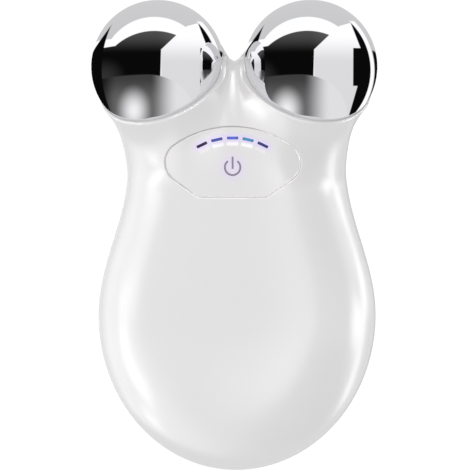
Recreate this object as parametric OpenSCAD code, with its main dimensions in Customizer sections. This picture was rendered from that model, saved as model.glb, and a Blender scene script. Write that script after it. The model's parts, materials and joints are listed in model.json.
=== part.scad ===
// Facial toning device: a palm-sized casing with a key plate and two metal ball electrodes.
// It lies on its back. +Z points out of the key plate, +Y towards the balls, +X to the right.
// The origin is on the resting surface, under the middle of the device.

/* [Casing] */
// Half width at the belly, the widest line of the body
belly_w = 34.15; // [33:0.05:36]
// Place of the belly along the length
belly_y = -19.8; // [-22:0.1:-18]
// Place of the rounded tip along the length
tip_y = -57.8; // [-60:0.1:-56.5]
// Half width at the waist
waist_w = 26.8; // [26:0.1:28.5]
// Place of the waist along the length
waist_y = 17.5; // [16:0.1:19]
// Place where the body ends between the necks
crown_y = 38.2; // [37:0.1:39.5]
// Height of the front face above the resting surface
front_z = 35.4; // [34.8:0.1:38]
// Depth of the round back below the resting surface, which is cut off flat
back_drop = 0.4; // [0.35:0.05:0.7]
// Height of the seam between the two shells at the belly
seam_z = 18.2; // [17.5:0.1:19]
// Rise of the seam towards the tip
seam_rise = 5.5; // [4.5:0.1:6.5]
// Place where the seam starts to rise towards the balls
seam_start_y = 8; // [5:0.5:11]
// Squareness of the cross-section, where 2 is an ellipse
squareness = 2.25; // [2.15:0.05:2.5]
// Wall thickness of both shells
wall = 1.8; // [1.6:0.1:2]
// Squareness of the body's end between the necks, where 2 is round
crown_square = 2.5; // [2.3:0.1:2.7]
// Radius of the blend between the two necks
neck_blend = 5; // [4:0.5:6]
// Radius of the blend between the necks and the body
crown_blend = 8; // [7:0.5:10]
// Distance of a neck's inner end from the middle plane
neck_root_x = 6; // [5:0.5:7]
// Place of the necks' inner ends along the length
neck_root_y = 15; // [14:0.5:16]
// Height of the necks' inner ends
neck_root_z = 18; // [17.5:0.5:18.5]
// Radius of the inner end of each neck
neck_root_r = 8.5; // [8:0.1:9.5]

/* [Ball electrodes] */
// Radius of a ball
ball_r = 16.4; // [16:0.1:16.8]
// Distance of a ball's centre from the middle plane
ball_x = 18.8; // [18.6:0.1:20]
// Place of the balls' centres along the length
ball_y = 41.4; // [40.5:0.1:43]
// Height of the balls' centres
ball_z = 29.1; // [28:0.1:31]
// Angle of a ball's axis above the resting surface
ball_lift = 38; // [35:0.5:41]
// Angle of a ball's axis away from the length
ball_splay = 22.8; // [20:0.5:25]
// Thickness of the ball's metal
ball_wall = 0.8; // [0.6:0.1:1.2]
// Thickness of the casing's rim around a ball
rim_lip = 0.6; // [0.5:0.05:0.8]
// Depth of the rim below the ball's centre
rim_depth = 3.37; // [3:0.01:4]
// Reach of the rim's plane past the ball, into the saddle between the necks
rim_reach = 4; // [3:0.5:5]
// Depth of the ball's open end below the rim
ball_seat = 5; // [4.5:0.1:6]
// Clearance around a ball in its cup
cup_gap = 0.1; // [0.05:0.01:0.2]
// Thickness of the sealing ring under a ball
ring_h = 0.8; // [0.6:0.1:1.2]
// Width of the sealing ring
ring_w = 1.2; // [1:0.1:1.4]
// Thickness of the cup's floor
cup_floor = 2; // [1.6:0.1:2.4]
// Radius of the post inside a ball
ball_post_r = 3; // [2.6:0.1:3.6]
// Thread radius of a ball's screw
ball_screw_r = 1.25; // [1:0.05:1.5]
// Thread length of a ball's screw above the cup's floor
ball_screw_l = 6; // [5:0.5:8]
// Thickness of a ring terminal
terminal_t = 0.4; // [0.3:0.1:0.6]
// Outer radius of a ring terminal
terminal_r = 2.7; // [2.5:0.1:3.2]
// Radius of the room for a ring terminal
terminal_room = 5.2; // [5:0.1:5.6]
// Length of a ring terminal's tail from its middle
terminal_l = 5.6; // [5:0.1:6.4]

/* [Key plate] */
// Full width of the key plate
key_w = 32.8; // [31:0.1:33.6]
// Place of the key plate's top edge
key_top_y = 26.4; // [26:0.1:27]
// Place of the key plate's bottom edge
key_bottom_y = 9.5; // [9:0.1:10]
// Place of the key plate's rounded sides
key_side_y = 17.8; // [17:0.1:18.4]
// Radius of the rounded sides
key_side_r = 5; // [4:0.1:6]
// Angle of the slanted lower edges
key_taper = 35.4; // [32:0.1:40]
// Radius of the two lower corners
key_corner_r = 2; // [1.5:0.1:3]
// Width of the groove around the key plate
key_gap = 0.25; // [0.2:0.01:0.3]
// Thickness of the key plate
key_wall = 1.6; // [1.4:0.1:1.8]
// Thickness of the key plate's skirt
key_skirt = 1.2; // [1:0.1:1.3]
// Depth of the key's flange below the front face
key_depth = 4.7; // [4.5:0.1:5.2]
// Thickness of the key's flange
flange_t = 0.8; // [0.6:0.1:1]
// Reach of the key's flange under its collar
flange_reach = 0.9; // [0.7:0.1:1.1]
// Gap between the flange and the collar at rest
flange_gap = 0.05; // [0.02:0.01:0.1]
// Width of the shell's collar around the key
collar_t = 1.2; // [1:0.1:1.4]
// Place of the key's centre, under the power symbol
key_centre_y = 16.6; // [16:0.1:17.2]
// Radius of the key's post
key_post_r = 1.6; // [1.3:0.1:1.9]
// Travel of the key
key_travel = 0.4; // [0.3:0.05:0.5]
// Room between the pressed key and the main board
key_room = 3.5; // [3.2:0.1:3.8]

/* [Lights] */
// Number of lights in the arc
light_count = 5; // [3:1:5]
// Radius of the arc of lights
light_arc_r = 17.4; // [16.5:0.1:18]
// Distance of the arc's top from the key plate's top edge
light_inset = 2.6; // [2.6:0.1:3]
// Angle between neighbouring lights
light_pitch = 12.75; // [11.5:0.25:13]
// Length of a light window
window_l = 2.8; // [2.2:0.1:3]
// Width of a light window
window_w = 0.55; // [0.4:0.05:0.8]
// Clearance around a light in the shroud
shroud_gap = 0.25; // [0.15:0.05:0.3]
// Wall thickness of the shroud
shroud_wall = 0.55; // [0.45:0.05:0.6]
// Gap between the shroud and the pressed key
shroud_air = 0.4; // [0.3:0.1:0.6]
// Length of a light chip
led_l = 1.6; // [1.4:0.1:2]
// Width of a light chip
led_w = 0.8; // [0.6:0.1:1]
// Height of a light chip
led_h = 0.6; // [0.4:0.1:0.8]

/* [Key switch] */
// Width of the switch
switch_w = 6; // [5.6:0.1:6.4]
// Height of the switch's base
switch_base_h = 3.2; // [3:0.1:3.4]
// Thickness of the switch's metal cover
switch_cover_t = 0.3; // [0.2:0.05:0.4]
// Radius of the switch's plunger
plunger_r = 1.7; // [1.5:0.1:1.8]
// Height of the plunger above the cover
plunger_out = 0.9; // [0.8:0.05:1.1]
// Depth of the plunger's pocket in the base
pocket_d = 1.5; // [1.4:0.1:1.8]
// Gap between the key's post and the plunger
post_gap = 0.05; // [0.03:0.01:0.08]

/* [Main board] */
// Gap between the board's edge and the casing at the waist
board_clear = 3; // [2.8:0.1:3.4]
// Place of the board's upper edge
board_top_y = 25; // [24.8:0.1:25.4]
// Length of the board
board_l = 42; // [40:0.1:43]
// Thickness of the board
board_t = 1.6; // [1.2:0.1:1.8]
// Size of the board's cut corners
board_corner = 2.5; // [2:0.1:4]
// Distance of the board's screws from its edges
board_screw_in = 2.7; // [2.6:0.1:3]
// Radius of the bosses that carry the board
board_boss_r = 2.2; // [2:0.1:2.4]
// Thread radius of the board's screws
board_screw_r = 0.9; // [0.8:0.05:1]
// Thread length of the board's screws above the board
board_screw_l = 4; // [3:0.1:4.5]
// Clearance of the board around the case bosses
board_hole_gap = 0.6; // [0.4:0.1:0.8]
// Length and width of the controller chip
mcu_w = 7; // [6:0.1:8]
// Height of the controller chip
mcu_h = 1; // [0.8:0.1:1.4]
// Place of the controller chip along the length
mcu_y = -5; // [-6:0.5:-4]
// Radius of the step-up coil
coil_r = 3.4; // [3:0.1:3.8]
// Height of the step-up coil
coil_h = 3.6; // [3:0.1:4.5]
// Distance of the step-up coil from the middle plane
coil_x = 12; // [11:0.5:14]
// Place of the step-up coil along the length
coil_y = -9; // [-10:0.5:-4]
// Radius of an output capacitor
cap_r = 2.5; // [2:0.1:2.8]
// Height of an output capacitor
cap_h = 5.4; // [4.5:0.1:6]
// Distance of an output capacitor from the middle plane
cap_x = 8.5; // [8:0.5:10]
// Place of the output capacitors along the length
cap_y = 14; // [13:0.5:15]
// Number of resistors on each side of the controller chip
resistor_count = 4; // [2:1:4]
// Distance of the resistors from the controller chip
resistor_off = 4; // [3:0.5:4.5]
// Length of a small resistor
resistor_l = 1.6; // [1.4:0.1:2]
// Width of a small resistor
resistor_w = 0.8; // [0.6:0.1:1]
// Height of a small resistor
resistor_h = 0.5; // [0.4:0.1:0.7]
// Distance between neighbouring resistors
resistor_pitch = 2.2; // [2:0.1:3]
// Radius of the buzzer
buzzer_r = 6; // [5.5:0.1:6.3]
// Height of the buzzer
buzzer_h = 5; // [4:0.1:6]
// Radius and depth of the buzzer's sound hole
buzzer_hole_r = 1; // [0.8:0.1:1.5]
// Distance of the buzzer from the middle plane, on the left
buzzer_x = 11; // [10.5:0.1:11.5]
// Place of the buzzer along the length
buzzer_y = -8; // [-9:0.5:-6]
// Width of the battery connector
plug_w = 8; // [7:0.5:9]
// Length of the battery connector
plug_l = 5; // [4:0.5:5.5]
// Height of the battery connector
plug_h = 3.6; // [3:0.1:4]
// Place of the battery connector's middle along the length
plug_y = -5; // [-6:0.5:-4]

/* [Battery] */
// Width of the battery
battery_w = 34; // [30:0.5:35]
// Clearance between the battery and its surroundings
battery_gap = 0.3; // [0.2:0.05:0.4]
// Thickness of the battery
battery_t = 9; // [7:0.1:10]
// Radius of the battery's rounded sides
battery_corner_r = 2.5; // [1.5:0.1:3]
// Thickness of the foam pad under the battery
pad_t = 1.2; // [1:0.1:1.6]
// Wall thickness of the battery's tray
tray_t = 1.2; // [1:0.1:1.4]
// Height of the battery's tray up the battery
tray_h = 4; // [3:0.5:5]

/* [Charging socket] */
// Height of the socket's middle
socket_z = 17.8; // [17.2:0.1:18.4]
// Outer width of the socket's metal shell
socket_w = 8.94; // [8.9:0.01:9]
// Outer height of the socket's metal shell
socket_h = 3.26; // [3.2:0.01:3.3]
// Thickness of the socket's metal
socket_t = 0.3; // [0.25:0.05:0.35]
// Length of the socket
socket_l = 7.35; // [7:0.05:8]
// Distance of the socket's mouth from the tip
socket_in = 2.2; // [1.9:0.1:2.6]
// Clearance of the casing around the socket
socket_gap = 0.2; // [0.15:0.05:0.3]
// Depth of the socket's closed back
socket_back = 1; // [0.8:0.1:1.2]
// Width of the socket's tongue
tongue_w = 6.69; // [6.6:0.01:6.8]
// Thickness of the socket's tongue
tongue_t = 0.7; // [0.6:0.05:0.8]
// Distance of the tongue's end behind the mouth
tongue_in = 0.9; // [0.7:0.1:1.2]
// Distance of the charging board's end behind the mouth
charge_board_in = 3.6; // [3.4:0.1:4.5]
// Length of the charging board
charge_board_l = 18; // [17:0.5:19]
// Width of the charging board
charge_board_w = 16; // [14.5:0.5:16.5]
// Thickness of the charging board
charge_board_t = 1; // [0.8:0.1:1.2]
// Distance of the charging board's screws from its edges
charge_screw_in = 2.8; // [2.6:0.1:3]
// Thread length of the charging board's screws below the board
charge_screw_l = 4; // [3:0.1:4.5]
// Length of the shelf under the charging board's front end
shelf_l = 2; // [1.5:0.1:3]
// Radius of the bosses under the charging board
charge_boss_r = 2.3; // [2:0.1:2.5]
// Width of the charger chip
charger_w = 4; // [3:0.1:5]
// Height of the charger chip
charger_h = 0.9; // [0.7:0.1:1.2]

/* [Back plate] */
// Half width of the back plate
plate_w = 11; // [10.5:0.1:11.5]
// Place of the back plate's upper end
plate_top_y = 20; // [18:0.5:20.5]
// Place of the back plate's lower end
plate_bottom_y = -29; // [-29.5:0.1:-28.5]
// Radius of the back plate's corners
plate_corner_r = 5; // [4:0.5:6]
// Thickness of the back plate
plate_t = 1.4; // [1.2:0.1:1.6]
// Groove around the back plate
plate_gap = 0.15; // [0.1:0.05:0.25]

/* [Fasteners and leads] */
// Distance of the case screws from the middle plane
case_screw_x = 8; // [7.4:0.1:8]
// Place of the upper case screws
case_screw_top_y = 5; // [4.5:0.1:5.2]
// Place of the lower case screws
case_screw_bottom_y = -25.2; // [-25.4:0.1:-24.5]
// Thread radius of a case screw
case_screw_r = 1.15; // [1:0.05:1.25]
// Length of a case screw above the bosses' meeting faces
case_screw_l = 9; // [8:0.5:11]
// Length of a case screw between its head and the bosses' meeting faces
case_screw_grip = 3.8; // [3:0.1:4.5]
// Radius of the rear shell's bosses
rear_boss_r = 3.2; // [3.1:0.1:3.4]
// Radius of the front shell's bosses
front_boss_r = 2.6; // [2.3:0.1:2.7]
// Distance from the seam down to the meeting faces of the bosses
boss_below_seam = 2.2; // [1.5:0.1:3]
// Clearance around a screw in its passing hole
hole_gap = 0.1; // [0.05:0.05:0.15]
// Radius of a lead
lead_r = 0.5; // [0.4:0.05:0.6]
// Distance between the two leads of a pair
lead_pitch = 2.6; // [2:0.1:4]
// Radius of a screw's head over its thread radius
head_ratio = 1.75; // [1.6:0.05:1.85]
// Height of a screw's head over its thread radius
head_h_ratio = 1.1; // [0.9:0.1:1.3]

/* [Hidden] */
$fn = 48;
// Directions on the balls' side and on the tip's side, and bands from a pole to the seam
ball_rays = 72;
tip_rays = 40;
skin_bands = 24;
cavity_bands = 8;
// Directions and rings of a patch of the skin
patch_rays = 36;
patch_rings = 8;
// How much the directions crowd towards the seam and towards the tip
seam_crowd = 0.7;
tip_crowd = 14;
// Middle of the casing, and the distances that its surface lies between
core_y = 14;
core_near = 4;
core_far = core_y - tip_y + ball_r;
root_steps = 12;
// Largest turn between two points of a drawn arc
arc_step = 6;
// Sides and steps of a lead
lead_sides = 8;
lead_steps = 12;
overrun = 0.5;

// Bends of the leads at their two ends
ball_lead_bend = 2.5;
board_lead_bend = [0, 0, -5];
battery_lead_bend = [0, 4, 0];
plug_lead_bend = [0, 5, 0];
charge_lead_bend = [0, 0, 5];
// Place of a ball lead's pad, from the board's upper screw
pad_off = [-6, -1.3];

// Depths below a ball's centre, along its axis
ball_base = rim_depth + ball_seat;
floor_top = ball_base + ring_h;
floor_under = floor_top + cup_floor;
terminal_under = floor_under + terminal_t;

// Heights of the stack behind the key plate
flange_top = front_z - key_depth;
flange_bottom = flange_top - flange_t;
board_z = flange_bottom - key_travel - key_room;
board_under = board_z - board_t;
switch_top = board_z + switch_base_h;
plunger_top = switch_top + switch_cover_t + plunger_out;

// Key plate outline
key_side_x = key_w / 2 - key_side_r;
key_rise = key_side_y - key_top_y;
key_top_r = (key_side_r * key_side_r - key_side_x * key_side_x - key_rise * key_rise)
    / (2 * (key_rise + key_side_r));
key_top_centre = key_top_y - key_top_r;
key_lean = atan(key_side_x / (key_side_y - key_top_centre));
key_corner_y = key_bottom_y + key_corner_r;
key_corner_x = key_side_x
    + (key_side_r - key_corner_r + (key_corner_y - key_side_y) * cos(key_taper)) / sin(key_taper);
light_centre_y = key_top_y - light_inset - light_arc_r;

// Board, battery and socket places
board_w = waist_w - wall - board_clear;
board_bottom_y = board_top_y - board_l;
board_screw_x = board_w - board_screw_in;
battery_l = case_screw_top_y - case_screw_bottom_y - 2 * (rear_boss_r + 2 * battery_gap);
battery_y = (case_screw_top_y + case_screw_bottom_y) / 2;
plate_pad_z = plate_t + wall;
battery_z = plate_pad_z + pad_t;
boss_z = seam_z - boss_below_seam;
case_head_z = boss_z - case_screw_grip;
socket_mouth_y = tip_y + socket_in;
charge_board_z = socket_z - socket_h / 2;
charge_board_y = socket_mouth_y + charge_board_in;
charge_screw_x = charge_board_w / 2 - charge_screw_in;
charge_screw_y = charge_board_y + charge_board_l - charge_screw_in;
charge_board_under = charge_board_z - charge_board_t;

// ---- Surface of the casing -------------------------------------------------------------

// Half length and half width of the ovals that cover the key plate and the back plate
key_patch = [key_w / 2 + 2.6, (key_top_y - key_bottom_y) / 2 + 1.7];
plate_patch = [1.45 * plate_w, 0.7 * (plate_top_y - plate_bottom_y)];

// Height of the seam between the shells at the length position y
function seam_height(y) =
    let (to_tip = max(0, (belly_y - y) / (belly_y - tip_y)))
    let (to_ball = min(1, max(0, (y - seam_start_y) / (ball_y - seam_start_y))))
    seam_z + seam_rise * to_tip * to_tip
        + (ball_z - seam_z) * to_ball * to_ball * (3 - 2 * to_ball);

function ball_centre(side) = [side * ball_x, ball_y, ball_z];

function ball_axis(side) = [
    side * cos(ball_lift) * sin(ball_splay),
    cos(ball_lift) * cos(ball_splay),
    sin(ball_lift)
];

// Half width of the body: widest at the belly, narrowest at the waist
function half_width(y) =
    let (share = min(1, max(0, (y - belly_y) / (waist_y - belly_y))))
    (belly_w + waist_w) / 2 + (belly_w - waist_w) / 2 * cos(180 * share);

// Distance from the egg-shaped body, below zero inside it
function body_distance(p) =
    let (tip_l = belly_y - tip_y, crown_l = crown_y - waist_y)
    let (to_tip = max(0, (belly_y - p.y) / tip_l), to_crown = max(0, (p.y - waist_y) / crown_l))
    let (w = half_width(p.y), seam = seam_height(p.y))
    let (h = p.z > seam ? front_z - seam : seam + back_drop)
    let (sx = abs(p.x) / w, sz = abs(p.z - seam) / h)
    let (ring = max(0.0001, pow(pow(sx, squareness) + pow(sz, squareness), 1 / squareness)))
    let (ends = to_tip * to_tip + pow(to_crown, crown_square))
    let (size = sqrt(ring * ring + ends))
    let (gx = pow(sx / ring, squareness - 1) / w * ring / size)
    let (gz = pow(sz / ring, squareness - 1) / h * ring / size)
    let (gy = (crown_square * pow(to_crown, crown_square - 1) / crown_l - 2 * to_tip / tip_l) / 2 / size)
    (size - 1) / max(0.02, norm([gx, gy, gz]));

// Distance from a neck: a cone with round ends, from the ball's cup into the body
function neck_distance(p, side) =
    let (from = ball_centre(side), to = [side * neck_root_x, neck_root_y, neck_root_z])
    let (ra = ball_r + rim_lip, l = norm(to - from), u = (to - from) / l)
    let (slope = (ra - neck_root_r) / l, flank = sqrt(1 - slope * slope))
    let (along = (p - from) * u, out = norm(p - from - along * u))
    let (k = flank * along - slope * out)
    k < 0 ? norm(p - from) - ra
        : k > flank * l ? norm(p - to) - neck_root_r
        : out * flank + along * slope - ra;

function blend(a, b, r) =
    let (h = max(r - abs(a - b), 0) / r)
    min(a, b) - h * h * r / 4;

function skin(p) =
    blend(body_distance(p),
        blend(neck_distance(p, 1), neck_distance(p, -1), neck_blend), crown_blend);

// Distance of p past the inner face of a cup's floor
function past_floor(p, side) = (p - ball_centre(side)) * ball_axis(side) + floor_under;

outer = function (p) skin(p);
middle = function (p) skin(p) + wall / 2;
inner = function (p) max(skin(p) + wall, past_floor(p, 1), past_floor(p, -1));

// ---- Closed surfaces built from rays out of the casing's middle --------------------------

function ray(lat, lon) = [cos(lat) * cos(lon), cos(lat) * sin(lon), sin(lat)];

// Point at distance r along a ray, in a space where the seam is level
function along_ray(d, r) =
    let (y = core_y + r * d.y)
    [r * d.x, y, seam_height(y) + r * d.z];

// Regula falsi between a and b, where the function g changes its sign
function root(g, a, ga, b, gb, n) =
    n == 0 || abs(gb) < 0.000001 ? b
        : let (c = (a * gb - b * ga) / (gb - ga), gc = g(c))
          gc * gb < 0 ? root(g, b, gb, c, gc, n - 1) : root(g, a, ga / 2, c, gc, n - 1);

function solve(g, a, b) = root(g, a, g(a), b, g(b), root_steps);

function surface_point(f, d) =
    along_ray(d, solve(function (r) f(along_ray(d, r)), core_near, core_far));

// Height of the casing's face over the place x, y: the front for up = 1, the back for up = -1
function face_height(x, y, up) =
    let (seam = seam_height(y))
    solve(function (z) skin([x, y, z]), seam, seam + up * 2 * ball_r);

// Directions around the casing: half of them on the balls' side, then round the tip
longitudes = concat(
    [for (j = [0:ball_rays - 1]) 180 * j / ball_rays],
    [for (j = [0:tip_rays - 1]) let (t = j / tip_rays) 180 + 180 * t + tip_crowd * sin(360 * t)]);

function latitude(i, bands) = 90 * (1 - pow(i / bands, seam_crowd));

// Ring of points at one latitude, with every step-th direction
function ring_points(f, lat, step = 1) =
    [for (j = [0:step:len(longitudes) - 1]) surface_point(f, ray(lat, longitudes[j]))];

// Faces of a closed surface: a first pole, rings of n points, a last pole
function ring_faces(rings, n, turn) =
    let (last = rings * n + 1)
    let (list = concat(
        [for (j = [0:n - 1]) [0, 1 + (j + 1) % n, 1 + j]],
        [for (i = [0:rings - 2]) for (j = [0:n - 1]) for (half = [0, 1])
            let (a = 1 + i * n + j, b = 1 + i * n + (j + 1) % n)
            half == 0 ? [a, b, b + n] : [a, b + n, a + n]],
        [for (j = [0:n - 1]) [last, last - n + j, last - n + (j + 1) % n]]))
    turn ? [for (f = list) [f[0], f[2], f[1]]] : list;

module ring_solid(first, rings, last, turn) {
    points = concat([first], [for (ring = rings) each ring], [last]);
    polyhedron(points, ring_faces(len(rings), len(rings[0]), turn), convexity = 8);
}

// One shell: the skin from its pole to the seam, the seam face, and the cavity back to its pole
module shell_half(up) {
    skin_rings = [for (i = [1:skin_bands]) ring_points(outer, up * latitude(i, skin_bands))];
    cavity_rings = [for (i = [cavity_bands:-1:1]) ring_points(inner, up * latitude(i, cavity_bands))];
    ring_solid(surface_point(outer, [0, 0, up]), concat(skin_rings, cavity_rings),
        surface_point(inner, [0, 0, up]), up < 0);
}

// Solid under an oval patch of one face, down to a level face
module face_block(middle, reach, level, up) {
    rings = [for (i = [1:patch_rings]) [for (j = [0:patch_rays - 1])
        let (a = 360 * j / patch_rays, r = i / patch_rings)
        let (x = middle.x + reach.x * r * cos(a), y = middle.y + reach.y * r * sin(a))
        [x, y, face_height(x, y, up)]]];
    base = [for (p = rings[patch_rings - 1]) [p.x, p.y, level]];
    ring_solid([middle.x, middle.y, face_height(middle.x, middle.y, up)], concat(rings, [base]),
        [middle.x, middle.y, level], up < 0);
}

// Solid that ends in the middle of the wall, to trim what grows out of the shells' insides
module wall_limit() {
    half = [for (i = [1:cavity_bands]) latitude(i, cavity_bands)];
    rings = [for (lat = concat(half, [for (i = [cavity_bands - 2:-1:0]) -half[i]]))
        ring_points(middle, lat, 2)];
    ring_solid(surface_point(middle, [0, 0, 1]), rings, surface_point(middle, [0, 0, -1]), false);
}

// ---- Helpers ---------------------------------------------------------------------------

// Arc of points around c, with angles counted clockwise from +Y
function arc(c, r, from, to) =
    let (n = ceil(abs(to - from) / arc_step))
    [for (i = [0:n]) let (a = from + (to - from) * i / n) c + r * [sin(a), cos(a)]];

// Outline of the key plate, moved outwards by grow
function key_outline(grow) =
    let (right = concat(
        arc([0, key_top_centre], key_top_r + grow, 0, key_lean),
        arc([key_side_x, key_side_y], key_side_r + grow, key_lean, 180 - key_taper),
        arc([key_corner_x, key_corner_y], key_corner_r + grow, 180 - key_taper, 180)))
    let (left = [for (i = [len(right) - 1:-1:1]) [-right[i].x, right[i].y]])
    concat(right, left);

// Frame of a ball: its centre is the origin and its axis is +Z
module at_ball(side) {
    translate(ball_centre(side)) rotate([ball_lift - 90, 0, -side * ball_splay]) children();
}

// World place of a point given in the frame of a ball
function from_ball(side, v) =
    let (y = v.y * sin(ball_lift) + v.z * cos(ball_lift))
    let (z = v.z * sin(ball_lift) - v.y * cos(ball_lift))
    ball_centre(side) + [v.x * cos(ball_splay) + y * sin(side * ball_splay),
        y * cos(ball_splay) - v.x * sin(side * ball_splay), z];

// Places of the screws
module at_case_screws() {
    for (x = [-case_screw_x, case_screw_x], y = [case_screw_bottom_y, case_screw_top_y])
        translate([x, y, 0]) children();
}

module at_board_screws() {
    for (x = [-board_screw_x, board_screw_x])
        for (y = [board_bottom_y + board_screw_in, board_top_y - board_screw_in])
            translate([x, y, 0]) children();
}

module at_charge_screws() {
    for (x = [-charge_screw_x, charge_screw_x]) translate([x, charge_screw_y, 0]) children();
}

module at_lights() {
    for (i = [0:light_count - 1])
        translate([0, light_centre_y, 0])
            rotate([0, 0, -light_pitch * (i - (light_count - 1) / 2)])
                translate([0, light_arc_r, 0]) children();
}

// Block centred in X and Y, standing on z = 0
module block(size) {
    translate([-size.x / 2, -size.y / 2, 0]) cube(size);
}

// Pan-head screw: head below z = 0, thread above it, with a cross recess in the head
module screw(r, l) {
    head_r = r * head_ratio;
    head_h = r * head_h_ratio;
    slot = r / 3;
    difference() {
        union() {
            translate([0, 0, -head_h]) cylinder(r = head_r, h = head_h);
            cylinder(r = r, h = l);
        }
        for (turn = [0, 90])
            rotate([0, 0, turn]) translate([0, 0, -head_h - slot]) block([head_r + slot, slot, 2 * slot]);
    }
}

// Block with round upright corners over the back plate, grown by grow
module plate_block(grow, h) {
    w = plate_w + grow;
    y0 = plate_bottom_y - grow;
    y1 = plate_top_y + grow;
    r = plate_corner_r + grow;
    linear_extrude(h) union() {
        translate([-w + r, y0]) square([2 * (w - r), y1 - y0]);
        translate([-w, y0 + r]) square([2 * w, y1 - y0 - 2 * r]);
        for (x = [-w + r, w - r], y = [y0 + r, y1 - r]) translate([x, y]) circle(r = r);
    }
}

// Outline with round ends across X, standing upright along -Y, for the socket
module slot_shape(w, h, l) {
    r = h / 2;
    rotate([-90, 0, 0]) linear_extrude(l) union() {
        square([w - h, h], center = true);
        for (x = [-1, 1]) translate([x * (w / 2 - r), 0]) circle(r = r);
    }
}

// Point on a lead's curve, a cubic from p to q that leaves along dp and arrives along dq
function curve(p, dp, q, dq, t) =
    let (s = 1 - t)
    s * s * s * p + 3 * s * s * t * (p + dp) + 3 * s * t * t * (q + dq) + t * t * t * q;

module lead(p, dp, q, dq) {
    line = [for (i = [0:lead_steps]) curve(p, dp, q, dq, i / lead_steps)];
    rings = [for (i = [0:lead_steps])
        let (ahead = i == 0 ? dp : i == lead_steps ? -dq : line[i + 1] - line[i - 1])
        let (w = ahead / norm(ahead), u0 = cross(w, [1, 0, 0]), u = u0 / norm(u0), v = cross(w, u))
        [for (j = [0:lead_sides - 1])
            let (a = 360 * j / lead_sides) line[i] + lead_r * (cos(a) * u + sin(a) * v)]];
    ring_solid(p, rings, q, true);
}

// ---- Casing ----------------------------------------------------------------------------

// What a ball and its fasteners take out of the shells
module cup_cuts() {
    for (side = [-1, 1])
        at_ball(side) {
            translate([0, 0, -rim_depth]) cylinder(r = ball_r + rim_reach, h = 2 * ball_r);
            intersection() {
                sphere(r = ball_r + cup_gap, $fn = 96);
                translate([0, 0, -floor_top]) cylinder(r = ball_r + 1, h = 2 * ball_r);
            }
            translate([0, 0, -floor_under - overrun])
                cylinder(r = ball_screw_r + hole_gap, h = cup_floor + 2 * overrun);
            translate([0, 0, -floor_under - ball_seat]) cylinder(r = terminal_room, h = ball_seat);
        }
}

module front_shell() color("white") {
    difference() {
        union() {
            shell_half(1);
            intersection() {
                wall_limit();
                union() {
                    translate([0, 0, flange_top + flange_gap]) linear_extrude(front_z)
                        polygon(key_outline(key_gap + collar_t));
                    at_board_screws() translate([0, 0, board_z]) cylinder(r = board_boss_r, h = front_z);
                    at_case_screws() translate([0, 0, boss_z]) cylinder(r = front_boss_r, h = front_z);
                }
            }
        }
        cup_cuts();
        translate([0, 0, flange_bottom]) linear_extrude(front_z) polygon(key_outline(key_gap));
        at_board_screws() translate([0, 0, board_z - overrun])
            cylinder(r = board_screw_r, h = board_screw_l + overrun);
        at_case_screws() translate([0, 0, boss_z - overrun])
            cylinder(r = case_screw_r, h = case_screw_l + overrun);
    }
}

module rear_shell() color("white") {
    difference() {
        union() {
            shell_half(-1);
            intersection() {
                wall_limit();
                union() {
                    plate_block(wall, plate_pad_z);
                    at_case_screws() cylinder(r = rear_boss_r, h = boss_z);
                    at_charge_screws() cylinder(r = charge_boss_r, h = charge_board_under);
                    battery_tray();
                    charge_shelf();
                }
            }
        }
        cup_cuts();
        translate([0, 0, -2 * wall]) block([4 * belly_w, 4 * belly_w, 2 * wall]);
        translate([0, 0, -overrun]) plate_block(plate_gap, plate_t + overrun);
        at_case_screws() {
            cylinder(r = case_screw_r * head_ratio + hole_gap, h = case_head_z);
            cylinder(r = case_screw_r + hole_gap, h = boss_z + overrun);
        }
        at_charge_screws() translate([0, 0, charge_board_under - charge_screw_l - overrun])
            cylinder(r = board_screw_r, h = charge_screw_l + 2 * overrun);
        translate([0, tip_y - overrun, socket_z])
            slot_shape(socket_w + 2 * socket_gap, socket_h + 2 * socket_gap, socket_in + 2 * wall);
    }
}

// Low wall around the battery
module battery_tray() {
    w = battery_w + 2 * battery_gap;
    l = battery_l + 2 * battery_gap;
    translate([0, battery_y, 0]) difference() {
        block([w + 2 * tray_t, l + 2 * tray_t, battery_z + tray_h]);
        block([w, l, battery_z + tray_h + overrun]);
    }
}

// Shelf under the front end of the charging board
module charge_shelf() {
    translate([0, charge_board_y + shelf_l / 2, 0]) block([charge_board_w / 2, shelf_l, charge_board_under]);
}

module back_plate() color("whitesmoke") {
    intersection() {
        plate_block(0, plate_t);
        face_block([0, (plate_bottom_y + plate_top_y) / 2], plate_patch, plate_pad_z, -1);
    }
}

// ---- Electrodes ------------------------------------------------------------------------

module electrode(side) color("silver") at_ball(side) {
    difference() {
        union() {
            difference() {
                sphere(r = ball_r, $fn = 96);
                sphere(r = ball_r - ball_wall, $fn = 96);
                translate([0, 0, -ball_base - ball_r]) cylinder(r = ball_r + 1, h = ball_r);
            }
            translate([0, 0, -floor_top]) cylinder(r = ball_post_r, h = floor_top + ball_r - ball_wall);
        }
        translate([0, 0, -floor_top - overrun]) cylinder(r = ball_screw_r, h = ball_screw_l + overrun);
    }
}

module left_electrode() electrode(-1);

module right_electrode() electrode(1);

module electrode_seals() color("dimgray") {
    seal_r = sqrt(pow(ball_r, 2) - pow(floor_top, 2)) - cup_gap;
    for (side = [-1, 1])
        at_ball(side) translate([0, 0, -floor_top]) difference() {
            cylinder(r = seal_r, h = ring_h);
            translate([0, 0, -overrun]) cylinder(r = seal_r - ring_w, h = ring_h + 2 * overrun);
        }
}

module electrode_screws() color("lightsteelblue") {
    for (side = [-1, 1])
        at_ball(side) translate([0, 0, -terminal_under])
            screw(ball_screw_r, ball_screw_l + cup_floor + terminal_t);
}

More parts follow.
